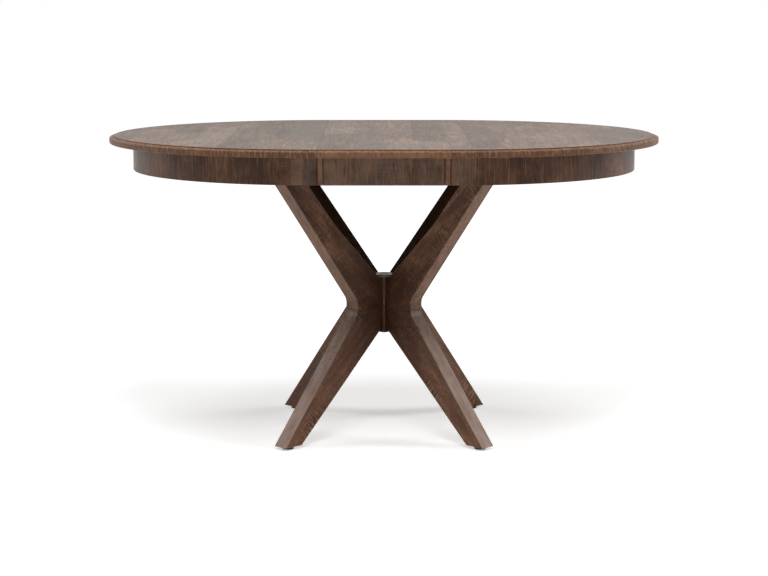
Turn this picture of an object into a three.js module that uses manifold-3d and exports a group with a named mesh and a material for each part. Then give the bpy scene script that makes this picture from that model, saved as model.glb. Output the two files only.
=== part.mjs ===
// Round extending dining table: two half tops and a leaf on a pedestal of four bent legs.
// Millimetres, +Z up. The origin is on the floor under the middle, and the top opens along X.

import * as THREE from "three";
import { mergeVertices } from "three/addons/utils/BufferGeometryUtils.js";
import Module from "manifold-3d";

const wasm = await Module();
wasm.setup();

// Clearances and cutting allowances
const fitGap = 0.3;
const slideGap = 0.4;
const boreGap = 0.45;
const cutOverrun = 5;
const weldDistance = 0.001;

// Top: two half rounds with one leaf between them
const tableHeight = 754;
const topRadius = 533.4;
const leafLength = 304.8;
const topThickness = 19;
const seamGap = 0.4;
const topSegments = 80;

// Edge of the top: a small step, a low round, and an eased lower arris
const rimWidth = 12.6;
const rimStep = 2.8;
const rimRound = 3.8;
const rimEase = 3.4;
const rimSteps = 3;
const easeSteps = 2;

// Apron, and the strips that end it on the leaf
const apronOverhang = 58.6;
const apronThickness = 20;
const apronDepth = 67;
const apronEase = 1.5;
const leafStripWidth = 13.3;

// Slides: fixed rails on bearers, runners on the halves
const railWidth = 34;
const railDrop = 2.3;
const railHousing = 6;
const railOverhang = 109.2;
const railToBolt = 68.79;
const runnerWidth = 24.6;
const runnerHeight = 38;
const runnerFloat = 2.7;
const runnerInnerReach = 90;
const runnerOuterSetback = 148.4;
const tongueDepth = 5.5;
const tongueNeck = 8;
const tongueFlare = 1.5;
const tongueRise = 8.3;
const bearerThickness = 22;
const bearerOverhang = 36.7;
const bearerWidth = 65;

// Equalising gear: one pinion in each rail, a rack in each runner
const openTravel = 60;
const gearModule = 2.5;
const pinionTeeth = 16;
const pressureAngle = THREE.MathUtils.degToRad(20);
const addendumShare = 0.95;
const dedendumShare = 1.25;
const backlash = 0.35;
const gearThickness = 8;
const rackBody = 6.9;
const rackMargin = 12;
const pinionPinRadius = 4;
const pinionPinDepth = 14;
const pinionHeadRadius = 8;
const pinionHeadThickness = 2;
const pinSides = 16;

// Pedestal: arms and legs in the upright plane of each pair, radius from the middle and height
const boardThickness = 41;
const boardEase = 1.6;
const hubSide = 68;
const hubRise = 5;
const hubDrop = 4.2;
const hubEase = 3;
const kneeHeight = 318;
const kneeRadius = 113.5;
const kneeCornerRise = 24.8;
const kneeCornerDrop = 10.4;
const armFillet = 30;
const legFillet = 26;
const filletSteps = 4;
const armRootHeight = 390;
const legRootHeight = 258;
const armTopOuterRadius = 371.3;
const armTopWidth = 42.6;
const footOuterRadius = 357.2;
const footWidth = 52.9;

// Metal cap on the centre post
const capRadius = 21.5;
const capRim = 1.6;
const capDome = 4.4;
const capSteps = 4;
const capSides = 24;
const capSpigotRadius = 8;
const capSpigotLength = 22;

// Glides under the feet
const glideRadius = 14;
const glideHeight = 7;
const glideEase = 2;
const glideStemRadius = 4;
const glideStemLength = 16;
const glideSides = 16;

// Tenons: each arm and leg into the post, and each leg up into its arm
const tenonThickness = 16;
const tenonDepth = 18;
const tenonShoulder = 9;
const kneeTenonDepth = 20;
const kneeTenonShares = [0.32, 0.78];

// Lag bolts, one down through a bearer into the end of each arm
const lagShankRadius = 4;
const lagIntoArm = 28;
const lagTip = 6;
const lagHeadRadius = 7.5;
const lagHeadHeight = 5;
const lagWasherRadius = 10;
const lagWasherThickness = 1.6;
const lagInset = 9;
const lagSides = 12;
const hexSides = 6;

// Seam hardware: lock levers, stud plates and alignment pins
const lockApronGap = 40.8;
const lockSetback = 28;
const lockPlateLength = 46;
const lockPlateWidth = 28;
const lockPlateThickness = 2;
const leverBoss = 12;
const leverWidth = 22;
const leverTabWidth = 12;
const leverTabLength = 17;
const leverThickness = 3;
const leverDrop = 0.8;
const leverSides = 12;
const pivotRadius = 4;
const pivotHeadRadius = 8;
const studRadius = 3;
const studHeadRadius = 5.5;
const lockHeadThickness = 2;
const notchGap = 1.6;
const alignPinRadius = 4;
const alignPinDepth = 16;
const alignPinReach = 12;
const alignPinNose = 2;
const alignPinSides = 10;

// Sizes worked out from the above
const seam = leafLength / 2;
const leafReach = seam - seamGap;
const topUnderside = tableHeight - topThickness;
const apronRadius = topRadius - apronOverhang;
const apronInner = apronRadius - apronThickness;
const apronBottom = topUnderside - apronDepth;
const apronTop = topUnderside - fitGap;
const runnerTop = topUnderside - fitGap;
const runnerBottom = runnerTop - runnerHeight;
const bearerTop = runnerBottom - runnerFloat;
const railTop = topUnderside - railDrop;
const railBottom = bearerTop - railHousing + fitGap;
const bearerBottom = bearerTop - bearerThickness;
const armTop = bearerBottom - fitGap;
const armTopInnerRadius = armTopOuterRadius - armTopWidth;
const bearerCentre = (armTopOuterRadius - armTopWidth / 2) * Math.SQRT1_2;
const bearerReach = bearerCentre + bearerOverhang;
const boltRadius = armTopInnerRadius + lagInset;
const railOffset = boltRadius * Math.SQRT1_2 - railToBolt;
const railReach = bearerCentre + bearerWidth / 2 + railOverhang;
const runnerFace = railWidth / 2 + slideGap;
const runnerBack = runnerFace + runnerWidth;
const runnerEnd = seam + topRadius - runnerOuterSetback;
const tongueHeight = runnerBottom + tongueRise;
const gearRadius = (gearModule * pinionTeeth) / 2;
const toothPitch = Math.PI * gearModule;
const gearTop = railTop - pinionHeadThickness - fitGap * 2;
const gearBottom = gearTop - gearThickness;
const pinionPinBottom = gearBottom - fitGap - pinionPinDepth;
const rackBack = gearRadius + gearModule * dedendumShare + rackBody;
const hubTop = armRootHeight + hubRise;
const hubBottom = legRootHeight - hubDrop;
const hubFace = hubSide / 2;
const boardFace = hubFace + fitGap;
const armJoint = kneeHeight + fitGap / 2;
const legJoint = kneeHeight - fitGap / 2;
const capSpigotEnd = hubTop - capSpigotLength;
const footHeight = glideHeight + fitGap;
const footInnerRadius = footOuterRadius - footWidth;
const glideOffset = footOuterRadius - footWidth / 2;
const glideStemTop = glideHeight + glideStemLength;
const cornerTurns = [0, 1, 2, 3].map((i) => Math.PI / 4 + (i * Math.PI) / 2);
const leverReach = lockSetback * 2;
const leverLength = leverReach + leverWidth / 2 + leverTabLength;
const lockOffset = apronInner - lockApronGap - leverLength;
const lockPlateTop = topUnderside - fitGap;
const lockPlateBottom = lockPlateTop - lockPlateThickness;
const leverTop = lockPlateBottom - leverDrop;
const leverBottom = leverTop - leverThickness;
const lockHeadTop = leverBottom - leverDrop;
const alignPinHeight = topUnderside + topThickness / 2;

// Finishes
function finish(color, roughness, metalness = 0) {
  return new THREE.MeshStandardMaterial({ color, roughness, metalness });
}
const topWood = finish(0x8a7668, 0.45);
const apronWood = finish(0x5a463b, 0.5);
const stripWood = finish(0x6f574a, 0.5);
const armWood = finish(0x5c4638, 0.5);
const legWood = finish(0x5f4a3c, 0.5);
const slideWood = finish(0xb99a72, 0.6);
const brushedMetal = finish(0x8c8a88, 0.35, 1);
const steel = finish(0x9a9a9c, 0.4, 1);
const brass = finish(0xb08d4a, 0.4, 1);
const glidePlastic = finish(0x2a1c17, 0.6);

// Closed shells, joins and cuts

// Shares the corners of a shell, drops empty triangles and turns its faces outwards
function closedShell(geometry) {
  const bare = geometry.clone();
  bare.deleteAttribute("normal");
  bare.deleteAttribute("uv");
  const shell = mergeVertices(bare, weldDistance);
  const corner = (i) => new THREE.Vector3().fromBufferAttribute(shell.attributes.position, i);
  const faces = [];
  let volume = 0;
  for (let i = 0; i < shell.index.count; i += 3) {
    const face = [shell.index.getX(i), shell.index.getX(i + 1), shell.index.getX(i + 2)];
    if (new Set(face).size < 3) continue;
    faces.push(face);
    const [a, b, c] = face.map(corner);
    volume += a.dot(b.cross(c));
  }
  const turned = faces.map(([a, b, c]) => (volume < 0 ? [a, c, b] : [a, b, c]));
  shell.setIndex(turned.flat());
  return shell;
}

function toSolid(geometry) {
  const shell = closedShell(geometry);
  const vertProperties = Float32Array.from(shell.attributes.position.array);
  const triVerts = Uint32Array.from(shell.index.array);
  return new wasm.Manifold(new wasm.Mesh({ numProp: 3, vertProperties, triVerts }));
}

function fromSolid(solid) {
  const mesh = solid.getMesh();
  const geometry = new THREE.BufferGeometry();
  geometry.setAttribute("position", new THREE.BufferAttribute(Float32Array.from(mesh.vertProperties), 3));
  geometry.setIndex(new THREE.BufferAttribute(Uint32Array.from(mesh.triVerts), 1));
  geometry.computeVertexNormals();
  return geometry;
}

function cut(body, cutters) {
  return fromSolid(cutters.reduce((solid, cutter) => solid.subtract(toSolid(cutter)), toSolid(body)));
}

function join(pieces) {
  return fromSolid(pieces.slice(1).reduce((solid, piece) => solid.add(toSolid(piece)), toSolid(pieces[0])));
}

function keepInside(body, limit) {
  return fromSolid(toSolid(body).intersect(toSolid(limit)));
}

// Building blocks

// A box between two corners
function block(low, high) {
  const size = high.map((value, i) => value - low[i]);
  const middle = high.map((value, i) => (value + low[i]) / 2);
  return new THREE.BoxGeometry(...size).translate(...middle);
}

// A turned piece about the upright axis, from radius and height pairs
function turned(points, sides) {
  const profile = points.map(([radius, height]) => new THREE.Vector2(radius, height));
  return new THREE.LatheGeometry(profile, sides).rotateX(Math.PI / 2);
}

function flatShape(points) {
  return new THREE.Shape(points.map(([x, y]) => new THREE.Vector2(x, y)));
}

const xAxis = new THREE.Vector3(1, 0, 0);
const yAxis = new THREE.Vector3(0, 1, 0);
const zAxis = new THREE.Vector3(0, 0, 1);

// A section of [y, z] points drawn out along X
function drawnAlongX(points, from, to) {
  const geometry = new THREE.ExtrudeGeometry(flatShape(points), { depth: to - from, bevelEnabled: false });
  return geometry.applyMatrix4(new THREE.Matrix4().makeBasis(yAxis, zAxis, xAxis)).translate(from, 0, 0);
}

// An outline of [x, y] points raised from one height to another
function raised(points, from, to) {
  const geometry = new THREE.ExtrudeGeometry(flatShape(points), { depth: to - from, bevelEnabled: false });
  return geometry.translate(0, 0, from);
}

// A board whose outline of [x, z] points stands upright, centred on Y, with eased arrises
function uprightBoard(points, thickness, ease) {
  const geometry = new THREE.ExtrudeGeometry(flatShape(points), {
    depth: thickness - ease * 2,
    bevelEnabled: true,
    bevelSegments: 1,
    bevelThickness: ease,
    bevelSize: ease,
    bevelOffset: -ease,
  });
  geometry.applyMatrix4(new THREE.Matrix4().makeBasis(xAxis, zAxis, yAxis.clone().negate()));
  return geometry.translate(0, thickness / 2 - ease, 0);
}

// A plain round rod about the upright axis
function rod(radius, from, to, sides) {
  return turned([[0, from], [radius, from], [radius, to], [0, to]], sides);
}

function named(name, geometry, material) {
  const mesh = new THREE.Mesh(geometry, material);
  mesh.name = name;
  return mesh;
}

// Tops and leaf

// The edge profile from the flat surface down to the underside, for an edge that reaches this far out
function edgeProfile(reach) {
  const points = [[reach - rimWidth, tableHeight]];
  for (let i = 0; i <= rimSteps; i++) {
    const angle = (i / rimSteps) * (Math.PI / 2);
    const out = reach - rimWidth * (1 - Math.sin(angle));
    points.push([out, tableHeight - rimStep - rimRound * (1 - Math.cos(angle))]);
  }
  for (let i = 0; i <= easeSteps; i++) {
    const angle = (i / easeSteps) * (Math.PI / 2);
    points.push([reach - rimEase * (1 - Math.cos(angle)), topUnderside + rimEase * (1 - Math.sin(angle))]);
  }
  return points;
}

function halfTop() {
  const disc = turned([[0, tableHeight], ...edgeProfile(topRadius), [0, topUnderside]], topSegments);
  const far = topRadius + cutOverrun;
  const limit = block([0, -far, topUnderside - cutOverrun], [far, far, tableHeight + cutOverrun]);
  const half = keepInside(disc, limit);
  const pinHole = rod(alignPinRadius + fitGap, -cutOverrun, alignPinDepth + fitGap, alignPinSides);
  return cut(half.translate(seam, 0, 0), [alongSeam(pinHole)]);
}

function leafTop() {
  const edge = edgeProfile(topRadius);
  const mirrored = edge.map(([y, z]) => [-y, z]).reverse();
  const board = drawnAlongX([...edge, ...mirrored], -leafReach, leafReach);
  const slotHalf = alignPinRadius + fitGap * 2;
  const slotDepth = alignPinReach + fitGap * 2;
  const slot = block(
    [leafReach - slotDepth, -slotHalf, topUnderside - cutOverrun],
    [leafReach + cutOverrun, slotHalf, alignPinHeight + slotHalf],
  );
  return cut(board, [slot, slot.clone().rotateZ(Math.PI)]);
}

// Turns an upright piece to lie along X in the middle of the right seam, its top end outwards
function alongSeam(piece) {
  return piece.rotateY(Math.PI / 2).translate(seam, 0, alignPinHeight);
}

function alignmentPin() {
  return alongSeam(turned([
    [0, -alignPinReach],
    [alignPinRadius - alignPinNose, -alignPinReach],
    [alignPinRadius, alignPinNose - alignPinReach],
    [alignPinRadius, alignPinDepth],
    [0, alignPinDepth],
  ], alignPinSides));
}

// Aprons

const apronSection = [
  [apronInner, apronBottom],
  [apronRadius - apronEase, apronBottom],
  [apronRadius, apronBottom + apronEase],
  [apronRadius, apronTop],
  [apronInner, apronTop],
];

function curvedApron() {
  const ring = turned([...apronSection, apronSection[0]], topSegments);
  const far = apronRadius + cutOverrun;
  const limit = block([0, -far, apronBottom - cutOverrun], [far, far, apronTop + cutOverrun]);
  return keepInside(ring, limit).translate(seam, 0, 0);
}

// A straight length of apron along the front (s = -1) or the back (s = 1)
function straightApron(from, to, s) {
  return closedShell(drawnAlongX(apronSection.map(([y, z]) => [s * y, z]), from, to));
}

// Slides

// A runner beside its rail; d = 1 puts it on the +Y side of the rail and -1 on the other
function runner(d, s) {
  const neck = tongueNeck / 2;
  const section = [
    [runnerFace, runnerBottom],
    [runnerBack, runnerBottom],
    [runnerBack, runnerTop],
    [runnerFace, runnerTop],
    [runnerFace, gearTop + fitGap],
    [rackBack + fitGap, gearTop + fitGap],
    [rackBack + fitGap, gearBottom - fitGap],
    [runnerFace, gearBottom - fitGap],
    [runnerFace, tongueHeight + neck],
    [runnerFace - tongueDepth, tongueHeight + neck + tongueFlare],
    [runnerFace - tongueDepth, tongueHeight - neck - tongueFlare],
    [runnerFace, tongueHeight - neck],
  ];
  const placed = section.map(([y, z]) => [s * railOffset + d * y, z]);
  return closedShell(drawnAlongX(placed, -runnerInnerReach, runnerEnd));
}

function rail(s) {
  const half = railWidth / 2;
  const neck = tongueNeck / 2 + slideGap;
  const deep = half - tongueDepth - slideGap;
  const flare = tongueFlare + slideGap;
  const rightSide = [
    [half, railBottom],
    [half, tongueHeight - neck],
    [deep, tongueHeight - neck - flare],
    [deep, tongueHeight + neck + flare],
    [half, tongueHeight + neck],
    [half, railTop],
  ];
  const leftSide = rightSide.map(([y, z]) => [-y, z]).reverse();
  const bar = drawnAlongX([...rightSide, ...leftSide], -railReach, railReach);
  const pocketReach = gearRadius + gearModule + slideGap * 2;
  const pocketTop = railTop + cutOverrun;
  const pocket = block([-pocketReach, -railWidth, gearBottom - fitGap], [pocketReach, railWidth, pocketTop]);
  const pinHole = rod(pinionPinRadius + fitGap, pinionPinBottom - fitGap, gearTop, pinSides);
  return cut(bar, [pocket, pinHole]).translate(0, s * railOffset, 0);
}

function bearer(side) {
  const middle = side * bearerCentre;
  const low = [middle - bearerWidth / 2, -bearerReach, bearerBottom];
  const plank = block(low, [middle + bearerWidth / 2, bearerReach, bearerTop]);
  const housingHalf = railWidth / 2 + fitGap;
  const housings = [-1, 1].map((s) => block(
    [middle - bearerWidth, s * railOffset - housingHalf, bearerTop - railHousing],
    [middle + bearerWidth, s * railOffset + housingHalf, bearerTop + cutOverrun],
  ));
  const boltHoles = cornerTurns.map((turn) => lagBoltHole().rotateZ(turn));
  return cut(plank, [...housings, ...boltHoles]);
}

function lagBolt() {
  const seat = bearerTop + fitGap;
  const end = armTop - lagIntoArm;
  const washerTop = seat + lagWasherThickness;
  const stem = turned([
    [0, end],
    [lagShankRadius, end + lagTip],
    [lagShankRadius, seat],
    [lagWasherRadius, seat],
    [lagWasherRadius, washerTop],
    [0, washerTop],
  ], lagSides);
  const head = rod(lagHeadRadius, seat, washerTop + lagHeadHeight, hexSides);
  return join([stem, head]).translate(boltRadius, 0, 0);
}

function lagBoltHole() {
  const hole = rod(lagShankRadius + fitGap, armTop - lagIntoArm - fitGap, bearerTop + cutOverrun, lagSides);
  return hole.translate(boltRadius, 0, 0);
}

// Equalising gear

// Pinion outline with involute flanks
function pinionOutline() {
  const base = gearRadius * Math.cos(pressureAngle);
  const root = gearRadius - gearModule * dedendumShare;
  const tip = gearRadius + gearModule * addendumShare;
  const involute = (angle) => Math.tan(angle) - angle;
  const halfAtPitch = Math.PI / (2 * pinionTeeth) - backlash / (2 * gearRadius);
  const halfAt = (radius) => {
    const angle = Math.acos(Math.min(1, base / radius));
    return halfAtPitch + involute(pressureAngle) - involute(angle);
  };
  const flank = [[root, halfAt(base)], [base, halfAt(base)], [gearRadius, halfAtPitch], [tip, halfAt(tip)]];
  const points = [];
  for (let tooth = 0; tooth < pinionTeeth; tooth++) {
    const middle = (tooth / pinionTeeth) * Math.PI * 2;
    const rising = flank.map(([radius, half]) => [radius, middle - half]);
    const falling = flank.map(([radius, half]) => [radius, middle + half]).reverse();
    points.push(...rising, ...falling);
  }
  return points.map(([radius, angle]) => [radius * Math.cos(angle), radius * Math.sin(angle)]);
}

function pinion(s) {
  const wheel = raised(pinionOutline(), gearBottom, gearTop);
  const bore = rod(pinionPinRadius + boreGap, gearBottom - cutOverrun, gearTop + cutOverrun, pinSides);
  return cut(wheel, [bore]).translate(0, s * railOffset, 0);
}

function pinionPin(s) {
  const head = gearTop + fitGap;
  return turned([
    [0, pinionPinBottom],
    [pinionPinRadius, pinionPinBottom],
    [pinionPinRadius, head],
    [pinionHeadRadius, head],
    [pinionHeadRadius, head + pinionHeadThickness],
    [0, head + pinionHeadThickness],
  ], pinSides).translate(0, s * railOffset, 0);
}

// A rack beside the pinion, with a space between teeth at the pinion's axis
function rack(d, s) {
  const tip = gearRadius - gearModule * addendumShare;
  const root = gearRadius + gearModule * dedendumShare;
  const halfPitch = toothPitch / 4 - backlash / 2;
  const halfTip = halfPitch - gearModule * addendumShare * Math.tan(pressureAngle);
  const halfRoot = halfPitch + gearModule * dedendumShare * Math.tan(pressureAngle);
  const inward = Math.ceil((openTravel + rackMargin) / toothPitch);
  const outward = Math.ceil((seam + rackMargin) / toothPitch);
  const points = [[-inward * toothPitch, rackBack], [-inward * toothPitch, root]];
  for (let tooth = -inward; tooth < outward; tooth++) {
    const middle = (tooth + 0.5) * toothPitch;
    points.push([middle - halfRoot, root], [middle - halfTip, tip]);
    points.push([middle + halfTip, tip], [middle + halfRoot, root]);
  }
  points.push([outward * toothPitch, root], [outward * toothPitch, rackBack]);
  return raised(points.map(([x, y]) => [x, s * railOffset + d * y]), gearBottom, gearTop);
}

// Seam locks

// A plate with a headed post below it: the pivot of a lever, or the stud that a lever hooks
function lockPlate(postRadius, headRadius) {
  const corner = [lockPlateLength / 2, lockPlateWidth / 2];
  const plate = block([-corner[0], -corner[1], lockPlateBottom], [...corner, lockPlateTop]);
  const post = turned([
    [0, lockHeadTop - lockHeadThickness],
    [headRadius, lockHeadTop - lockHeadThickness],
    [headRadius, lockHeadTop],
    [postRadius, lockHeadTop],
    [postRadius, lockPlateTop - lockPlateThickness / 2],
    [0, lockPlateTop - lockPlateThickness / 2],
  ], leverSides);
  return join([plate, post]);
}

// A lever that points along X from its pivot, with its notch on the leading side
function lockLever(leadingSide) {
  const half = leverWidth / 2;
  const tab = leverTabWidth / 2;
  const end = leverReach + half;
  const boss = [];
  for (let i = 0; i <= leverSides; i++) {
    const angle = Math.PI / 2 + (i / leverSides) * Math.PI;
    boss.push([leverBoss * Math.cos(angle), leverBoss * Math.sin(angle)]);
  }
  const outline = [
    ...boss,
    [end - tab / 2, -half],
    [end, -tab],
    [leverLength - tab / 2, -tab],
    [leverLength, -tab / 2],
    [leverLength, tab / 2],
    [leverLength - tab / 2, tab],
    [end, tab],
    [end - tab / 2, half],
  ];
  const bar = raised(outline, leverBottom, leverTop);
  const bore = rod(pivotRadius + boreGap, leverBottom - cutOverrun, leverTop + cutOverrun, pinSides);
  const mouth = studRadius + notchGap;
  const floor = -leadingSide * mouth;
  const open = leadingSide * (half + cutOverrun);
  const notch = block(
    [leverReach - mouth, Math.min(floor, open), leverBottom - cutOverrun],
    [leverReach + mouth, Math.max(floor, open), leverTop + cutOverrun],
  );
  return cut(bar, [bore, notch]);
}

// Pedestal

// Points of a rounded corner between two straight edges
function roundedCorner(before, corner, after, radius) {
  const [p, c, q] = [before, corner, after].map(([x, y]) => new THREE.Vector2(x, y));
  const toP = p.clone().sub(c).normalize();
  const toQ = q.clone().sub(c).normalize();
  const halfAngle = Math.acos(toP.dot(toQ)) / 2;
  const centre = toP.clone().add(toQ).normalize().multiplyScalar(radius / Math.sin(halfAngle)).add(c);
  const start = toP.clone().multiplyScalar(radius / Math.tan(halfAngle)).add(c).sub(centre);
  const end = toQ.clone().multiplyScalar(radius / Math.tan(halfAngle)).add(c).sub(centre);
  const sweep = Math.atan2(start.cross(end), start.dot(end));
  const points = [];
  for (let i = 0; i <= filletSteps; i++) {
    const spoke = start.clone().rotateAround(new THREE.Vector2(), (sweep * i) / filletSteps);
    points.push([centre.x + spoke.x, centre.y + spoke.y]);
  }
  return points;
}

function armOutline() {
  const corner = [kneeRadius, kneeHeight + kneeCornerRise];
  const top = [armTopOuterRadius, armTop];
  const joint = [kneeRadius, armJoint];
  const knee = roundedCorner(joint, corner, top, armFillet);
  const inner = [[armTopInnerRadius, armTop], [boardFace, armRootHeight], [boardFace, armJoint]];
  return [joint, ...knee, top, ...inner];
}

function legOutline() {
  const corner = [kneeRadius, kneeHeight - kneeCornerDrop];
  const foot = [footOuterRadius, footHeight];
  const joint = [kneeRadius, legJoint];
  const knee = roundedCorner(joint, corner, foot, legFillet).reverse();
  const inner = [[boardFace, legJoint], [boardFace, legRootHeight], [footInnerRadius, footHeight]];
  return [foot, ...knee, joint, ...inner];
}

// A tenon from the board into the centre post between two heights, with the gap around it for its mortise
function hubTenon(low, high, gap) {
  const half = tenonThickness / 2 + gap;
  const from = [hubFace - tenonDepth - gap, -half, low + tenonShoulder - gap];
  return block(from, [boardFace + tenonShoulder, half, high - tenonShoulder + gap]);
}

// The tenon that stands up from a leg into its arm
function kneeTenon(gap) {
  const half = tenonThickness / 2 + gap;
  const [from, to] = kneeTenonShares.map((share) => THREE.MathUtils.lerp(boardFace, kneeRadius, share));
  const top = legJoint + kneeTenonDepth + gap;
  return block([from - gap, -half, legJoint - tenonShoulder], [to + gap, half, top]);
}

function arm() {
  const board = uprightBoard(armOutline(), boardThickness, boardEase);
  const tenoned = join([board, hubTenon(kneeHeight, armRootHeight, 0)]);
  return cut(tenoned, [kneeTenon(fitGap), lagBoltHole()]);
}

function leg() {
  const board = uprightBoard(legOutline(), boardThickness, boardEase);
  const stemHole = rod(glideStemRadius + fitGap, footHeight - cutOverrun, glideStemTop + fitGap, glideSides);
  const tenoned = join([board, hubTenon(legRootHeight, kneeHeight, 0), kneeTenon(0)]);
  return cut(tenoned, [stemHole.translate(glideOffset, 0, 0)]);
}

function glide() {
  return turned([
    [0, 0],
    [glideRadius - glideEase, 0],
    [glideRadius, glideEase],
    [glideRadius, glideHeight - glideEase],
    [glideRadius - glideEase, glideHeight],
    [glideStemRadius, glideHeight],
    [glideStemRadius, glideStemTop],
    [0, glideStemTop],
  ], glideSides).translate(glideOffset, 0, 0);
}

function hubPost() {
  const corners = [];
  for (let i = 0; i < 4; i++) {
    const turn = (i * Math.PI) / 2;
    for (const [x, y] of [[hubFace, hubFace - hubEase], [hubFace - hubEase, hubFace]]) {
      corners.push([x * Math.cos(turn) - y * Math.sin(turn), x * Math.sin(turn) + y * Math.cos(turn)]);
    }
  }
  const post = raised(corners, hubBottom, hubTop);
  const spigotHole = rod(capSpigotRadius + fitGap, capSpigotEnd - fitGap, hubTop + cutOverrun, pinSides);
  const mortises = [0, 1, 2, 3].flatMap((i) => [
    hubTenon(kneeHeight, armRootHeight, fitGap).rotateZ((i * Math.PI) / 2),
    hubTenon(legRootHeight, kneeHeight, fitGap).rotateZ((i * Math.PI) / 2),
  ]);
  return cut(post, [spigotHole, ...mortises]);
}

function hubCap() {
  const bottom = hubTop + fitGap;
  const dome = [];
  for (let i = 0; i < capSteps; i++) {
    const angle = (i / capSteps) * (Math.PI / 2);
    dome.push([capRadius * Math.cos(angle), bottom + capRim + capDome * Math.sin(angle)]);
  }
  dome.push([0, bottom + capRim + capDome]);
  const spigot = [[0, capSpigotEnd], [capSpigotRadius, capSpigotEnd], [capSpigotRadius, bottom]];
  return turned([...spigot, [capRadius, bottom], ...dome], capSides);
}

// Assembly

const sideNames = { "-1": "left", 1: "right" };
const depthNames = { "-1": "front", 1: "back" };
const table = new THREE.Group();

// Adds a lock lever and its pivot plate, at rest turned away from the seam
function addLever(group, hand, x, s) {
  const plate = named(`lock_plate_${hand}_${depthNames[s]}`, lockPlate(pivotRadius, pivotHeadRadius), steel);
  const lever = named(`lock_lever_${hand}_${depthNames[s]}`, lockLever(s), steel);
  plate.position.set(x, s * lockOffset, 0);
  lever.position.copy(plate.position);
  lever.rotation.z = (s * Math.PI) / 2;
  group.add(plate, lever);
}

function addStud(group, hand, x, s) {
  const plate = named(`stud_plate_${hand}_${depthNames[s]}`, lockPlate(studRadius, studHeadRadius), steel);
  plate.position.set(x, s * lockOffset, 0);
  group.add(plate);
}

// What slides with one half. A half is drawn on the +X side, and the left one's pieces are turned round
function halfGroup(side) {
  const group = new THREE.Group();
  const turnedRound = new THREE.Group();
  const hand = sideNames[side];
  turnedRound.rotation.z = side > 0 ? 0 : Math.PI;
  turnedRound.add(named(`top_half_${hand}`, halfTop(), topWood));
  turnedRound.add(named(`apron_${hand}`, curvedApron(), apronWood));
  turnedRound.add(named(`alignment_pin_${hand}`, alignmentPin(), brass));
  for (const s of [-1, 1]) {
    const d = s * side;
    const where = depthNames[d];
    turnedRound.add(named(`runner_${hand}_${where}`, runner(d, s), slideWood));
    turnedRound.add(named(`rack_${hand}_${where}`, rack(d, s), steel));
    if (side > 0) addLever(group, "right", seam + lockSetback, s);
    else addStud(group, "left", -seam - lockSetback, s);
  }
  group.add(turnedRound);
  return group;
}

function leafGroup() {
  const group = new THREE.Group();
  group.add(named("leaf_top", leafTop(), topWood));
  const stripStart = leafReach - leafStripWidth;
  for (const s of [-1, 1]) {
    const where = depthNames[s];
    const end = stripStart - fitGap;
    group.add(named(`leaf_apron_${where}`, straightApron(-end, end, s), apronWood));
    group.add(named(`leaf_strip_left_${where}`, straightApron(-leafReach, -stripStart, s), stripWood));
    group.add(named(`leaf_strip_right_${where}`, straightApron(stripStart, leafReach, s), stripWood));
    addLever(group, "left", lockSetback - seam, s);
    addStud(group, "right", seam - lockSetback, s);
  }
  return group;
}

function pedestalGroup() {
  const group = new THREE.Group();
  const corners = ["back_right", "back_left", "front_left", "front_right"];
  corners.forEach((corner, i) => {
    const quarter = new THREE.Group();
    quarter.rotation.z = cornerTurns[i];
    quarter.add(named(`arm_${corner}`, arm(), armWood));
    quarter.add(named(`leg_${corner}`, leg(), legWood));
    quarter.add(named(`glide_${corner}`, glide(), glidePlastic));
    quarter.add(named(`lag_bolt_${corner}`, lagBolt(), steel));
    group.add(quarter);
  });
  const hub = named("hub_post", hubPost(), armWood);
  hub.rotation.z = cornerTurns[0];
  group.add(hub, named("hub_cap", hubCap(), brushedMetal));
  return group;
}

function slideGroup() {
  const group = new THREE.Group();
  for (const s of [-1, 1]) {
    group.add(named(`bearer_${sideNames[s]}`, bearer(s), slideWood));
    group.add(named(`rail_${depthNames[s]}`, rail(s), slideWood));
    group.add(named(`pinion_${depthNames[s]}`, pinion(s), steel));
    group.add(named(`pinion_pin_${depthNames[s]}`, pinionPin(s), steel));
  }
  return group;
}

table.add(pedestalGroup(), slideGroup(), halfGroup(1), halfGroup(-1), leafGroup());

export default table;
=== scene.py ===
"""Looks of a round extending dining table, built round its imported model.

Metres, +Z up, with the origin on the floor under the middle of the table. -Y is towards the viewer.
"""

import logging
import math
from collections.abc import Callable, Iterable, Iterator, Sequence
from contextlib import contextmanager
from dataclasses import dataclass, replace
from enum import Enum
from functools import partial

import bmesh
import bpy
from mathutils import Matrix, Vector


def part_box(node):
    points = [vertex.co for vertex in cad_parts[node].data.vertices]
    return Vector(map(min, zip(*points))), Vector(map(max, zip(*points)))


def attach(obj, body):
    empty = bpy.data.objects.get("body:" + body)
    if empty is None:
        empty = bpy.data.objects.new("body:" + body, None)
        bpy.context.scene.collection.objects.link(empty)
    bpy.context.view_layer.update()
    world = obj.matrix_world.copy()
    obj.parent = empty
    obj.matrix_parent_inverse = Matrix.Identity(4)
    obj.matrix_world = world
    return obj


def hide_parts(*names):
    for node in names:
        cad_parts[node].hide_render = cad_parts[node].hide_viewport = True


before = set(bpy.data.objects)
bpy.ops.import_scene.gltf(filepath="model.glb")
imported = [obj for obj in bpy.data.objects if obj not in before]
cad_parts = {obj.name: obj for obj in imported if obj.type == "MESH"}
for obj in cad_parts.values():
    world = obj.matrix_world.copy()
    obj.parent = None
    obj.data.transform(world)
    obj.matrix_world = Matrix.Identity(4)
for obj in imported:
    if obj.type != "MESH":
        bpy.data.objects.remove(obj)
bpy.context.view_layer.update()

LOG = logging.getLogger("table")

Colour = tuple[float, float, float]
Point = tuple[float, float, float]
Band = tuple[float, float]
Piece = bpy.types.Object
Material = bpy.types.Material
Socket = bpy.types.NodeSocket

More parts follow.
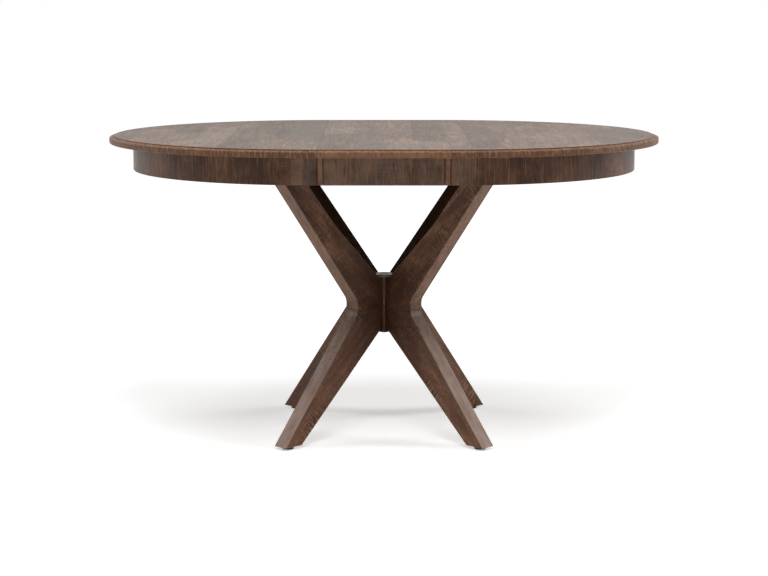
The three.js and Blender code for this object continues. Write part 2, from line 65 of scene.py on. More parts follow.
GRAIN = "grain"
# Face-corner values of wear, painted light and painted highlights, with painted shade below 0.
WEAR_AND_LIGHT = "worn"
MAIN_FACE = 0
ARRIS_FACE = 1
RIM_FACE = 2
WELD = 0.00002
SEED_SIZE = WELD * 100
SMOOTH_ANGLE = math.radians(32)
HALF_TURN_STEPS = 128
SMALL_TURN_STEPS = 64
SCREW_TURN_STEPS = 24
CORNER_SHARE = 0.3
FLAT_NORMAL = 0.97
SIDE_NORMAL = 0.3
SHIFT_SHARES = (0.731, 1.137, 0.419)
FRONT_AND_BACK = {"front": -1, "back": 1}
LEFT_AND_RIGHT = {"left": -1, "right": 1}
CORNER_TURNS = {"back_right": 0.25, "back_left": 0.75, "front_left": 1.25, "front_right": 1.75}


def shade(code: str) -> Colour:
    """Turns a six-digit colour as seen on a screen into linear light.

    Args:
        code: Red, green and blue in hexadecimal, two digits each.

    Returns:
        The three values in linear light, from 0 to 1.
    """
    seen = [int(code[i:i + 2], 16) / 255 for i in (0, 2, 4)]
    return tuple(v / 12.92 if v <= 0.04045 else ((v + 0.055) / 1.055) ** 2.4 for v in seen)


class GrainSource(Enum):
    """Where a wood finish reads the run of the grain from."""

    LAID = "laid on the piece as an attribute"
    ALONG_X = "along X"
    ALONG_Y = "along Y"


class NodeBench:
    """Adds and joins the shader nodes of one material, or of the world."""

    def __init__(self, holder: bpy.types.ID, output: str = "ShaderNodeOutputMaterial") -> None:
        """Clears the nodes of a material or a world, and adds its output.

        Args:
            holder: The material or the world.
            output: The output node's type.
        """
        holder.use_nodes = True
        self.holder = holder
        self.tree = holder.node_tree
        self.tree.nodes.clear()
        self.output = self.add(output)

    def add(self, kind: str, inputs: dict | None = None, **settings: object) -> bpy.types.Node:
        """Adds a node.

        Args:
            kind: The node's type.
            inputs: Values or sockets for its inputs, by name or number.
            **settings: The node's own properties.

        Returns:
            The node.
        """
        node = self.tree.nodes.new(kind)
        for key, value in settings.items():
            setattr(node, key, value)
        for key, value in (inputs or {}).items():
            self.feed(node.inputs[key], value)
        return node

    def feed(self, socket: Socket, value: object) -> None:
        """Links an input to another socket, or sets its value.

        Args:
            socket: The input.
            value: The other socket, a number, or three numbers.
        """
        if isinstance(value, Socket):
            self.tree.links.new(value, socket)
        elif isinstance(value, tuple) and socket.type == "RGBA":
            socket.default_value = (*value[:3], 1.0)
        else:
            socket.default_value = value

    def sum(self, operation: str, a: object, b: object, clamp: bool = False) -> Socket:
        """Works out a sum of two values, kept from 0 to 1 where it is clamped."""
        return self.add("ShaderNodeMath", {0: a, 1: b}, operation=operation, use_clamp=clamp).outputs[0]

    def times(self, a: object, b: object) -> Socket:
        """Multiplies two values."""
        return self.sum("MULTIPLY", a, b)

    def opposite(self, value: object) -> Socket:
        """Gives 1 less a value."""
        return self.sum("SUBTRACT", 1.0, value)

    def lean(self, start: object, value: object, weight: object) -> Socket:
        """Moves a start value by as much as another value differs from 0.5, times a weight."""
        return self.sum("ADD", start, self.times(self.sum("SUBTRACT", value, 0.5), weight))

    def between(self, value: object, band: Band) -> Socket:
        """Spreads a value so that the band's ends become 0 and 1, with nothing beyond."""
        inputs = {"Value": value, "From Min": band[0], "From Max": band[1]}
        return self.add("ShaderNodeMapRange", inputs, interpolation_type="SMOOTHSTEP").outputs[0]

    def seen(self) -> Socket:
        """Gives the place on the object, in metres."""
        return self.add("ShaderNodeTexCoord").outputs["Object"]

    def split(self, place: Socket) -> bpy.types.bpy_prop_collection:
        """Splits a place into its X, Y and Z."""
        return self.add("ShaderNodeSeparateXYZ", {0: place}).outputs

    def join(self, x: object, y: object, z: object) -> Socket:
        """Joins three values into a place."""
        return self.add("ShaderNodeCombineXYZ", {0: x, 1: y, 2: z}).outputs[0]

    def length(self, place: Socket) -> Socket:
        """Gives how far a place lies from the origin."""
        return self.add("ShaderNodeVectorMath", {0: place}, operation="LENGTH").outputs["Value"]

    def radius(self, place: Socket) -> Socket:
        """Gives how far a place lies from the upright axis through the origin."""
        x, y, _ = self.split(place)
        return self.length(self.join(x, y, 0.0))

    def noise(self, place: Socket, stretch: Point, detail: float = 2.0, rough: float = 0.5,
              warp: float = 0.0) -> Socket:
        """Adds a noise that has its own scale along each axis.

        Args:
            place: The place to look up.
            stretch: Cycles a metre along each axis.
            detail: Octaves of finer noise.
            rough: Strength of each finer octave.
            warp: How much the noise bends itself.

        Returns:
            The noise's value, about 0.5 on average.
        """
        scaled = self.add("ShaderNodeMapping", {"Vector": place, "Scale": stretch}).outputs[0]
        inputs = {"Vector": scaled, "Scale": 1.0, "Detail": detail, "Roughness": rough, "Distortion": warp}
        return self.add("ShaderNodeTexNoise", inputs, noise_dimensions="3D").outputs[0]

    def cells(self, place: Socket, spread: float = 0.6, feature: str = "F1") -> bpy.types.Node:
        """Adds cells along a line, of uneven lengths about 1."""
        inputs = {"W": place, "Scale": 1.0, "Randomness": spread}
        return self.add("ShaderNodeTexVoronoi", inputs, voronoi_dimensions="1D", feature=feature)

    def draws(self, cells: bpy.types.Node) -> bpy.types.bpy_prop_collection:
        """Gives the three chance values of each cell."""
        return self.add("ShaderNodeSeparateColor", {0: cells.outputs["Color"]}).outputs

    def cover(self, colour: object, code: str, amount: object) -> Socket:
        """Lays a six-digit colour over another colour, by an amount from 0 to 1."""
        inputs = {0: amount, 6: colour, 7: shade(code)}
        return self.add("ShaderNodeMix", inputs, data_type="RGBA", clamp_factor=True).outputs[2]

    def ramp(self, value: Socket, stops: Sequence[tuple[float, str]]) -> Socket:
        """Turns a value into a colour.

        Args:
            value: The value.
            stops: Places from 0 to 1, each with its six-digit colour.

        Returns:
            The colour.
        """
        node = self.add("ShaderNodeValToRGB", {"Fac": value})
        band = node.color_ramp
        while len(band.elements) < len(stops):
            band.elements.new(0.5)
        for element, (place, code) in zip(band.elements, stops):
            element.position = place
            element.color = (*shade(code), 1.0)
        return node.outputs[0]

    def bump(self, height: Socket, distance: float, strength: float) -> Socket:
        """Turns a height into a shading normal."""
        inputs = {"Height": height, "Distance": distance, "Strength": strength}
        return self.add("ShaderNodeBump", inputs).outputs[0]

    def place(self, source: GrainSource) -> Socket:
        """Gives the place in the wood: along the grain, across it, and through the board.

        Args:
            source: Where the run of the grain is read from.

        Returns:
            The place, in metres.
        """
        if source is GrainSource.LAID:
            return self.add("ShaderNodeAttribute", attribute_name=GRAIN).outputs["Vector"]
        seen = self.seen()
        if source is GrainSource.ALONG_X:
            return seen
        x, y, z = self.split(seen)
        return self.join(y, x, z)

    def close(self, shader: bpy.types.Node) -> bpy.types.ID:
        """Joins a shader to the output, and gives the material or the world."""
        self.feed(self.output.inputs[0], shader.outputs[0])
        return self.holder

    def surface(self, **inputs: object) -> Material:
        """Adds a surface shader, whose inputs are named with underscores for spaces, and closes the nodes."""
        named = {key.replace("_", " "): value for key, value in inputs.items()}
        return self.close(self.add("ShaderNodeBsdfPrincipled", named))


@dataclass(frozen=True)
class StainedWood:
    """A stained and sealed hardwood, with its fibres, figure, curl, staves, worn arrises, and painted light
    and shade.

    A scale counts cycles a metre along the grain, across it and through the board. A band holds the values
    between which something goes from none to full. A weight is how strongly it shows.
    """

    name: str
    deep: str
    middle: str
    pale: str
    cool: str
    # The colour that the worn attribute lays: wear on most finishes, painted light on the rim, a painted
    # highlight on the post, painted shade on the aprons and strips.
    worn: str
    source: GrainSource = GrainSource.LAID
    seed: float = 0.0
    tone_stops: tuple[float, ...] = (0.22, 0.5, 0.8)
    sway_scale: Point = (2.2, 5.0, 5.0)
    sway: float = 0.03
    fibre_scale: Point = (10.0, 330.0, 330.0)
    fibre_weight: float = 0.35
    mottle_scale: Point = (70.0, 190.0, 190.0)
    mottle_weight: float = 0.5
    ring_scale: Point = (1.7, 21.0, 21.0)
    ring_count: float = 9.0
    ring_weight: float = 0.16
    curl_scale: Point = (210.0, 22.0, 22.0)
    curl_band: Band = (0.36, 0.68)
    curl_patch_scale: Point = (8.0, 12.0, 12.0)
    curl_patch_band: Band = (0.42, 0.68)
    curl_weight: float = 0.2
    blotch_scale: Point = (6.0, 13.0, 13.0)
    blotch_weight: float = 0.35
    cool_scale: Point = (3.0, 8.0, 8.0)
    cool_band: Band = (0.45, 0.85)
    cool_weight: float = 0.2
    stave_width: float = 0.0
    stave_length: float = 0.2
    stave_weight: float = 0.0
    stave_spread: float = 0.35
    stave_slip: float = 29.0
    joint_width: float = 0.0004
    joint_weight: float = 0.55
    streak: str = "9a6b4a"
    streak_scale: Point = (14.0, 170.0, 170.0)
    streak_share: float = 0.64
    streak_blur: float = 0.07
    streak_weight: float = 0.0
    pore_scale: Point = (38.0, 900.0, 900.0)
    pore_band: Band = (0.62, 0.8)
    pore_weight: float = 0.3
    pore_depth: float = 0.7
    wear_scale: Point = (22.0, 60.0, 60.0)
    wear_band: Band = (0.1, 0.7)
    # Painted shade: the wood is darker near the middle post and just under the knee.
    hub_shade_start: float = 0.03
    hub_shade_reach: float = 0.0
    knee_shade_height: float = 0.0
    knee_shade_band: Band = (0.003, 0.013)
    painted_shade_weight: float = 0.55
    roughness: float = 0.5
    rough_weight: float = 0.22
    specular: float = 0.4
    bump_distance: float = 0.0004
    bump_strength: float = 0.35

    def build(self) -> Material:
        """Makes the material.

        Returns:
            The material.
        """
        bench = NodeBench(bpy.data.materials.new(self.name))
        inputs = {"Vector": bench.place(self.source), "Location": (self.seed, self.seed, self.seed)}
        laid = bench.add("ShaderNodeMapping", inputs).outputs[0]
        shift = bench.lean(0.0, bench.noise(laid, self.sway_scale), self.sway)
        inputs = {0: laid, 1: bench.join(0.0, shift, shift)}
        bent = bench.add("ShaderNodeVectorMath", inputs, operation="ADD").outputs[0]
        fibre = bench.noise(bent, self.fibre_scale, detail=5.0, rough=0.68)
        pores = bench.between(bench.noise(bent, self.pore_scale, detail=1.0), self.pore_band)
        tone = self._figure(bench, laid, bent, bench.lean(0.5, fibre, self.fibre_weight))
        chill = bench.noise(laid, self.cool_scale, detail=1.0)
        joint = None
        if self.stave_width:
            tone, chill, joint = self._staves(bench, laid, tone)
        colour = bench.ramp(tone, list(zip(self.tone_stops, (self.deep, self.middle, self.pale))))
        chill = bench.between(chill, self.cool_band)
        colour = bench.cover(colour, self.cool, bench.times(chill, self.cool_weight))
        if self.streak_weight:
            band = (self.streak_share - self.streak_blur, self.streak_share + self.streak_blur)
            lines = bench.between(bench.noise(laid, self.streak_scale), band)
            colour = bench.cover(colour, self.streak, bench.times(lines, self.streak_weight))
        colour = bench.cover(colour, self.deep, bench.times(pores, self.pore_weight))
        if joint:
            colour = bench.cover(colour, self.deep, bench.times(joint, self.joint_weight))
        # The worn attribute: wear, painted light and painted highlights, and painted shade below 0.
        wear_and_light = bench.add("ShaderNodeAttribute", attribute_name=WEAR_AND_LIGHT).outputs["Fac"]
        patchy = bench.between(bench.noise(laid, self.wear_scale, detail=3.0, rough=0.7), self.wear_band)
        colour = bench.cover(colour, self.worn, bench.times(wear_and_light, patchy))
        # Painted shade where the worn value is below 0.
        colour = bench.cover(colour, self.deep, bench.times(wear_and_light, -1.0))
        # Painted shade near the middle post and just under the knee.
        if self.hub_shade_reach:
            colour = bench.cover(colour, self.deep, self._painted_shade(bench))
        height = bench.sum("SUBTRACT", fibre, bench.times(pores, self.pore_depth))
        return bench.surface(
            Base_Color=colour,
            Roughness=bench.lean(self.roughness, fibre, self.rough_weight),
            Specular_IOR_Level=self.specular,
            Normal=bench.bump(height, self.bump_distance, self.bump_strength),
        )

    def _figure(self, bench: NodeBench, laid: Socket, bent: Socket, tone: Socket) -> Socket:
        """Adds the mottle, the rings, the curl and the blotches to the tone.

        Args:
            bench: Where the nodes are added.
            laid: The place in the wood.
            bent: The same, where the grain sways.
            tone: The tone so far.

        Returns:
            The new tone.
        """
        mottle = bench.noise(bent, self.mottle_scale, detail=3.0, rough=0.7)
        figure = bench.times(bench.noise(bent, self.ring_scale, warp=0.5), self.ring_count)
        rings = bench.times(bench.sum("PINGPONG", figure, 0.5), 2.0)
        curl = bench.noise(laid, self.curl_scale, detail=3.0, rough=0.6, warp=0.4)
        curl = bench.between(curl, self.curl_band)
        curled = bench.between(bench.noise(laid, self.curl_patch_scale, detail=1.0), self.curl_patch_band)
        blotch = bench.noise(laid, self.blotch_scale, detail=4.0, rough=0.62)
        tone = bench.lean(tone, mottle, self.mottle_weight)
        tone = bench.lean(tone, rings, self.ring_weight)
        tone = bench.lean(tone, curl, bench.times(curled, self.curl_weight))
        return bench.lean(tone, blotch, self.blotch_weight)

    def _staves(self, bench: NodeBench, laid: Socket, tone: Socket) -> tuple[Socket, Socket, Socket]:
        """Gives each stave of a glued board its own tone, and a dark joint.

        Args:
            bench: Where the nodes are added.
            laid: The place in the wood.
            tone: The tone so far.

        Returns:
            The new tone, the coolness of each stave, and where the joints are.
        """
        x, y, _ = bench.split(laid)
        across = bench.sum("DIVIDE", y, self.stave_width)
        slip = bench.times(bench.draws(bench.cells(across, self.stave_spread))[0], self.stave_slip)
        along = bench.sum("ADD", bench.sum("DIVIDE", x, self.stave_length), slip)
        stave = bench.draws(bench.cells(along))
        side = bench.cells(across, self.stave_spread, "DISTANCE_TO_EDGE").outputs["Distance"]
        joint = bench.opposite(bench.between(side, (0.0, self.joint_width / self.stave_width)))
        return bench.lean(tone, stave[0], self.stave_weight), stave[1], joint

    def _painted_shade(self, bench: NodeBench) -> Socket:
        """Finds where shade is painted: near the middle post, and just under a knee, where the top and the
        arm shade the wood.

        Args:
            bench: Where the nodes are added.

        Returns:
            How much of it there is, from 0 to 1.
        """
        seen = bench.seen()
        near = bench.opposite(bench.between(bench.radius(seen), (self.hub_shade_start, self.hub_shade_reach)))
        near = bench.times(near, self.painted_shade_weight)
        if not self.knee_shade_height:
            return near
        below = bench.sum("SUBTRACT", self.knee_shade_height, bench.split(seen)[2])
        under = bench.opposite(bench.between(below, self.knee_shade_band))
        return bench.sum("MAXIMUM", near, bench.times(under, self.painted_shade_weight))


@dataclass(frozen=True)
class TurnedMetal:
    """Metal with fine marks from turning about an upright axis, or from plating."""

    name: str
    colour: str
    dark: str
    roughness: float = 0.32
    rough_weight: float = 0.25
    cloud_scale: Point = (70.0, 70.0, 70.0)
    cloud_band: Band = (0.3, 0.75)
    mark_scale: Point = (420.0, 420.0, 420.0)
    ring_scale: float = 0.0
    bump_distance: float = 0.00003
    bump_strength: float = 0.3

    def build(self) -> Material:
        """Makes the material.

        Returns:
            The material.
        """
        bench = NodeBench(bpy.data.materials.new(self.name))
        seen = bench.seen()
        cloud = bench.between(bench.noise(seen, self.cloud_scale, detail=3.0), self.cloud_band)
        if self.ring_scale:
            ring = bench.join(bench.radius(seen), bench.split(seen)[2], 0.0)
            marks = bench.noise(ring, (self.ring_scale, self.ring_scale, 1.0), detail=4.0, rough=0.7)
        else:
            marks = bench.noise(seen, self.mark_scale, detail=3.0, rough=0.6)
        return bench.surface(
            Base_Color=bench.cover(shade(self.dark), self.colour, cloud),
            Metallic=1.0,
            Roughness=bench.lean(self.roughness, marks, self.rough_weight),
            Normal=bench.bump(marks, self.bump_distance, self.bump_strength),
        )


@dataclass(frozen=True)
class MouldedPlastic:
    """Dull moulded plastic with a fine texture and scuffs."""

    name: str
    colour: str
    scuffed: str
    roughness: float = 0.55
    rough_weight: float = 0.12
    fine_scale: Point = (900.0, 900.0, 900.0)
    scuff_scale: Point = (120.0, 120.0, 260.0)
    scuff_band: Band = (0.55, 0.75)
    scuff_weight: float = 0.5
    bump_distance: float = 0.0001
    bump_strength: float = 0.25

    def build(self) -> Material:
        """Makes the material.

        Returns:
            The material.
        """
        bench = NodeBench(bpy.data.materials.new(self.name))
        seen = bench.seen()
        fine = bench.noise(seen, self.fine_scale)
        scuff = bench.between(bench.noise(seen, self.scuff_scale, detail=3.0), self.scuff_band)
        scuff = bench.times(scuff, self.scuff_weight)
        return bench.surface(
            Base_Color=bench.cover(shade(self.colour), self.scuffed, scuff),
            Roughness=bench.sum("ADD", bench.times(fine, self.rough_weight), self.roughness),
            Normal=bench.bump(fine, self.bump_distance, self.bump_strength),
        )


TOP_STAIN = StainedWood(
    name="top_stain", deep="33261e", middle="59473a", pale="857060", cool="575450", worn="b5a595",
    stave_width=0.078, stave_length=0.9, stave_weight=0.17, fibre_weight=0.75,
    fibre_scale=(5.0, 300.0, 300.0), mottle_weight=0.7, mottle_scale=(11.0, 210.0, 210.0), ring_weight=0.14,
    curl_weight=0.1, blotch_weight=0.5, blotch_scale=(5.0, 14.0, 14.0), specular=0.32,
)
# Its worn colour is the painted light on the step and on the rim's upright band.
RIM_STAIN = StainedWood(
    name="rim_stain", deep="2f190f", middle="523423", pale="7a5437", cool="4e3b32", worn="8e6648",
    stave_width=0.075, stave_length=2.0, stave_weight=0.15, cool_weight=0.25, fibre_weight=0.5,
    mottle_weight=0.7, mottle_scale=(40.0, 140.0, 140.0), ring_weight=0.1, curl_weight=0.1, blotch_weight=0.5,
    streak_weight=0.6, streak="966f50", streak_scale=(40.0, 210.0, 210.0), streak_share=0.56,
    roughness=0.52, specular=0.25,
)
# Painted light: the leaf's rim is a lighter copy of the rim stain, for the stronger light at the front
# middle.
LEAF_RIM_LIT_STAIN = replace(RIM_STAIN, name="leaf_rim_lit_stain", deep="38200f", middle="5a3a27", pale="8a6445")
# Its worn colour is dark: painted shade along the apron's arrises, at the seams and under the top.
APRON_STAIN = StainedWood(
    name="apron_stain", deep="28150b", middle="553623", pale="845d44", cool="4a372c", worn="38241a",
    stave_width=0.085, stave_length=1.5, stave_weight=0.12, cool_weight=0.25, fibre_weight=0.5,
    mottle_weight=0.7, mottle_scale=(36.0, 280.0, 280.0), ring_weight=0.05, curl_weight=0.1,
    blotch_weight=1.2, blotch_scale=(9.0, 12.0, 12.0), streak_weight=0.55, streak="a37a5f",
    streak_scale=(12.0, 300.0, 300.0), roughness=0.42, specular=0.24,
)
# Painted light: the leaf's aprons and the ends of the curved aprons take this lighter copy, for the stronger
# light at the front middle.
LEAF_APRON_LIT_STAIN = replace(
    APRON_STAIN, name="leaf_apron_lit_stain", middle="6b5041", pale="98765f", cool="5f5048",
)
# Its worn colour is dark: painted shade in the seams along the strips' arrises.
STRIP_STAIN = StainedWood(
    name="strip_stain", deep="6a4636", middle="9c725a", pale="bd957a", cool="7a6356", worn="2a1811",
    fibre_weight=0.5, ring_weight=0.08, blotch_weight=0.3, specular=0.2,
)
# The arms take painted shade near the middle post.
ARM_STAIN = StainedWood(
    name="arm_stain", deep="2b1910", middle="64432f", pale="a47c61", cool="604e44", worn="a27e67",
    cool_weight=0.25, fibre_weight=0.3, mottle_weight=0.35, mottle_scale=(150.0, 170.0, 170.0),
    ring_weight=0.08, curl_weight=0.3, curl_scale=(260.0, 40.0, 40.0), blotch_weight=0.9,
    blotch_scale=(7.0, 16.0, 16.0), hub_shade_reach=0.16, roughness=0.46, specular=0.17,
)
# Painted shade: a darker copy of the arm stain for the post, which stands in shade under the top. Its worn
# colour is the painted highlight on the post's corners.
POST_SHADED_STAIN = replace(
    ARM_STAIN, name="post_shaded_stain", deep="2a180e", middle="4b3021", pale="6a4833", worn="a58a78", hub_shade_reach=0.0,
)
# The legs take painted shade near the middle post and just under the knee.
LEG_STAIN = StainedWood(
    name="leg_stain", deep="2f1c12", middle="6d4a36", pale="aa8268", cool="6a564b", worn="b8a294",
    cool_weight=0.25, fibre_weight=0.3, mottle_weight=0.4, mottle_scale=(150.0, 170.0, 170.0),
    ring_weight=0.08, curl_weight=0.4, curl_scale=(260.0, 40.0, 40.0), blotch_weight=0.65,
    blotch_scale=(7.0, 16.0, 16.0), wear_scale=(12.0, 40.0, 40.0), hub_shade_reach=0.2, knee_shade_height=0.318,
    roughness=0.44, specular=0.22,
)
SLIDE_WOOD = StainedWood(
    name="slide_wood", deep="a3815a", middle="c9aa80", pale="dcc39c", cool="c2a98a", worn="e0cba8",
    source=GrainSource.ALONG_X, roughness=0.55, specular=0.3,
)
BEARER_WOOD = StainedWood(
    name="bearer_wood", deep="9c7a54", middle="c4a47a", pale="d8be96", cool="bfa586", worn="e0cba8",
    source=GrainSource.ALONG_Y, roughness=0.55, specular=0.3, seed=3.0,
)
BRUSHED_CAP = TurnedMetal("brushed_cap", colour="c0bcb8", dark="b0aca8", roughness=0.66, ring_scale=2600.0)
PLATED_STEEL = TurnedMetal("plated_steel", colour="b9bbbd", dark="94979a", roughness=0.36)
PIN_BRASS = TurnedMetal("pin_brass", colour="c19f5c", dark="9a7b40", roughness=0.3)
GLIDE_PLASTIC = MouldedPlastic("glide_plastic", colour="2b1b15", scuffed="4a382f")


def clear_selection() -> None:
    """Deselects every object, because an operator acts on all that is selected."""
    bpy.ops.object.select_all(action="DESELECT")


def select_only(*pieces: Piece) -> None:
    """Selects these pieces alone, and makes the first the active one.

    Args:
        *pieces: The pieces.
    """
    clear_selection()
    for piece in pieces:
        piece.select_set(True)
    bpy.context.view_layer.objects.active = pieces[0]


@contextmanager
def editing(piece: Piece) -> Iterator[None]:
    """Opens one piece for editing with all of it selected, and closes it again.

    Args:
        piece: The piece.

    Returns:
        A context in which the piece is open.
    """
    select_only(piece)
    bpy.ops.object.mode_set(mode="EDIT")
    bpy.ops.mesh.select_mode(type="EDGE")
    bpy.ops.mesh.select_all(action="SELECT")
    yield
    bpy.ops.object.mode_set(mode="OBJECT")


def settle(piece: Piece) -> None:
    """Puts a piece's place into its mesh, so that its object sits at the origin."""
    select_only(piece)
    bpy.ops.object.transform_apply(location=True, rotation=True, scale=True)


def apply_modifier(piece: Piece, kind: str, **settings: object) -> None:
    """Adds a modifier to a piece and applies it.

    Args:
        piece: The piece.
        kind: The modifier's type.
        **settings: The modifier's own properties.
    """
    select_only(piece)
    bpy.ops.object.modifier_add(type=kind)
    modifier = piece.modifiers[-1]
    for key, value in settings.items():
        setattr(modifier, key, value)
    bpy.ops.object.modifier_apply(modifier=modifier.name)


def add_slots(piece: Piece, count: int) -> None:
    """Gives a piece at least that many material slots, so that its faces can be marked."""
    while len(piece.data.materials) < count:
        piece.data.materials.append(None)


def add_block(name: str, middle: Sequence[float], size: Sequence[float], turn: float = 0.0) -> Piece:
    """Adds a plain block to start from.

    Args:
        name: The new piece's name.
        middle: The block's middle.
        size: Its size along X, Y and Z.
        turn: Its turn about the upright axis, in degrees.

    Returns:
        The block.
    """
    clear_selection()
    rotation = (0, 0, math.radians(turn))
    bpy.ops.mesh.primitive_cube_add(size=1, location=middle, scale=size, rotation=rotation)
    piece = bpy.context.object
    piece.name = name
    settle(piece)
    return piece


def draw_chain(name: str, points: Sequence[Point]) -> Piece:
    """Draws a chain of edges, by extruding a point from place to place.

    Args:
        name: The new piece's name.
        points: The places, in order. The last is the first again in a closed chain.

    Returns:
        The piece, which holds only the chain.
    """
    clear_selection()
    bpy.ops.mesh.primitive_plane_add(size=SEED_SIZE, location=points[0])
    piece = bpy.context.object
    piece.name = name
    settle(piece)
    with editing(piece):
        bpy.ops.mesh.select_mode(type="VERT")
        bpy.ops.mesh.merge(type="CENTER")
        for before, after in zip(points, points[1:]):
            step = Vector(after) - Vector(before)
            bpy.ops.mesh.extrude_vertices_move(TRANSFORM_OT_translate={"value": step})
        bpy.ops.mesh.select_all(action="SELECT")
        bpy.ops.mesh.remove_doubles(threshold=WELD)
    return piece


def close_up(piece: Piece) -> None:
    """Merges doubled points, fills the open ends and turns the faces outwards.

    Args:
        piece: The piece.
    """
    with editing(piece):
        bpy.ops.mesh.remove_doubles(threshold=WELD)
        bpy.ops.mesh.select_all(action="DESELECT")
        bpy.ops.mesh.select_non_manifold()
        bpy.ops.mesh.fill_holes(sides=0)
        bpy.ops.mesh.select_all(action="SELECT")
        bpy.ops.mesh.normals_make_consistent(inside=False)


def spin(piece: Piece, centre: Point, turns: float, steps: int) -> None:
    """Spins a chain about an upright axis, clockwise as seen from above.

    Args:
        piece: The piece that holds the chain.
        centre: A point on the axis.
        turns: How far it goes round, as a share of a full turn.
        steps: How many steps it takes.
    """
    with editing(piece):
        bpy.ops.mesh.spin(steps=steps, angle=math.tau * turns, center=centre, axis=(0, 0, 1))
    close_up(piece)


def draw_out(piece: Piece, step: Point) -> None:
    """Extrudes a closed chain into a solid.

    Args:
        piece: The piece that holds the chain.
        step: How far the other end lies from this one.
    """
    with editing(piece):
        bpy.ops.mesh.extrude_region_move(TRANSFORM_OT_translate={"value": step})
    close_up(piece)


def round_edges(piece: Piece, width: float, segments: int, wanted: Callable[[Vector, Vector], bool],
                kind: int = -1) -> None:
    """Rounds chosen edges of a piece.

    Args:
        piece: The piece.
        width: How wide each rounding is.
        segments: Faces across it.
        wanted: Says whether an edge is chosen, from its two ends.
        kind: How the new faces are marked. At -1 they are marked as their neighbours are.
    """
    with editing(piece):
        mesh = bmesh.from_edit_mesh(piece.data)
        for edge in mesh.edges:
            edge.select_set(wanted(*(end.co for end in edge.verts)))
        bmesh.update_edit_mesh(piece.data)
        bpy.ops.mesh.bevel(offset=width, segments=segments, affect="EDGES", material=kind)


def ease(piece: Piece, width: float, segments: int = 3, angle: float = 40.0) -> None:
    """Rounds the sharp arrises of a piece, and marks the new faces as arris faces.

    Args:
        piece: The piece.
        width: How wide each arris is.
        segments: Faces across each arris.
        angle: The least angle that counts as sharp, in degrees.
    """
    add_slots(piece, ARRIS_FACE + 1)
    apply_modifier(piece, "BEVEL", width=width, segments=segments, limit_method="ANGLE",
                   angle_limit=math.radians(angle), material=ARRIS_FACE)


def carve(piece: Piece, low: Point, high: Point) -> None:
    """Cuts a box out of a piece.

    Args:
        piece: The piece.
        low: The box's lowest corner.
        high: The box's highest corner.
    """
    cutter = add_block("cutter", (Vector(low) + Vector(high)) / 2, Vector(high) - Vector(low))
    apply_modifier(piece, "BOOLEAN", operation="DIFFERENCE", object=cutter)
    bpy.data.objects.remove(cutter)


def lay_grain(piece: Piece, place: Callable[[Vector, Vector], Point], shift: float, arris_wear_and_light: float,
              face_wear_and_light: Callable[[Vector, Vector], float] | None = None) -> None:
    """Writes the run of the grain, and the wear and the painted light and shade, on each face corner of a
    finished mesh.

    Args:
        piece: The piece.
        place: Gives the place along the grain, across it and through the board, from a point and a normal.
        shift: Moves the figure, so that no two pieces are alike.
        arris_wear_and_light: How far the arrises take the worn colour, from 0 to 1: wear on most pieces, a
            painted highlight on the post, painted shade on the aprons and strips.
        face_wear_and_light: Gives how far another face takes the worn colour, from its middle and normal:
            wear and painted light, and below 0 painted shade.
    """
    mesh = piece.data
    mesh.attributes.new(GRAIN, "FLOAT_VECTOR", "CORNER")
    mesh.attributes.new(WEAR_AND_LIGHT, "FLOAT", "CORNER")
    grain, worn = mesh.attributes[GRAIN], mesh.attributes[WEAR_AND_LIGHT]
    offset = Vector([shift * share for share in SHIFT_SHARES])
    for face in mesh.polygons:
        wear_and_light = face_wear_and_light(face.center, face.normal) if face_wear_and_light else 0.0
        if face.material_index == ARRIS_FACE:
            wear_and_light = max(wear_and_light, arris_wear_and_light)
        for loop in face.loop_indices:
            point = mesh.vertices[mesh.loops[loop].vertex_index].co
            grain.data[loop].vector = Vector(place(point, face.normal)) + offset
            worn.data[loop].value = wear_and_light


def dress(piece: Piece, materials: Sequence[Material]) -> None:
    """Gives a piece its materials. Arris faces share the first, and rim faces take the last.

    Args:
        piece: The piece.
        materials: One material, or one for the main faces and one for the rim.
    """
    indices = [len(materials) - 1 if f.material_index == RIM_FACE else 0 for f in piece.data.polygons]
    piece.data.materials.clear()
    for material in materials:
        piece.data.materials.append(material)
    for face, index in zip(piece.data.polygons, indices):
        face.material_index = index


def hand_over(piece: Piece, body: str, slot: str, nodes: Iterable[str], *materials: Material) -> None:
    """Dresses a piece, smooths it except across its sharp edges, attaches it to its body and hides the CAD
    nodes that it stands for.

    Args:
        piece: The piece.
        body: The body that it rides on.
        slot: Not used.
        nodes: The CAD nodes that it stands for.
        *materials: One material, or one for the main faces and one for the rim.
    """
    dress(piece, materials)
    select_only(piece)
    bpy.ops.object.shade_smooth_by_angle(angle=SMOOTH_ANGLE)
    apply_modifier(piece, "WEIGHTED_NORMAL", keep_sharp=True, weight=100)
    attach(piece, body)
    if nodes:
        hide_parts(*nodes)
    LOG.info("made %s on %s: %d faces", piece.name, body, len(piece.data.polygons))


def redress(node: str, material: Material) -> None:
    """Gives a CAD node that is kept as it is another material.

    Args:
        node: The node.
        material: The material.
    """
    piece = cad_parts[node]
    add_slots(piece, 1)
    for slot in piece.material_slots:
        slot.material = material
    LOG.info("kept %s with %s", node, material.name)


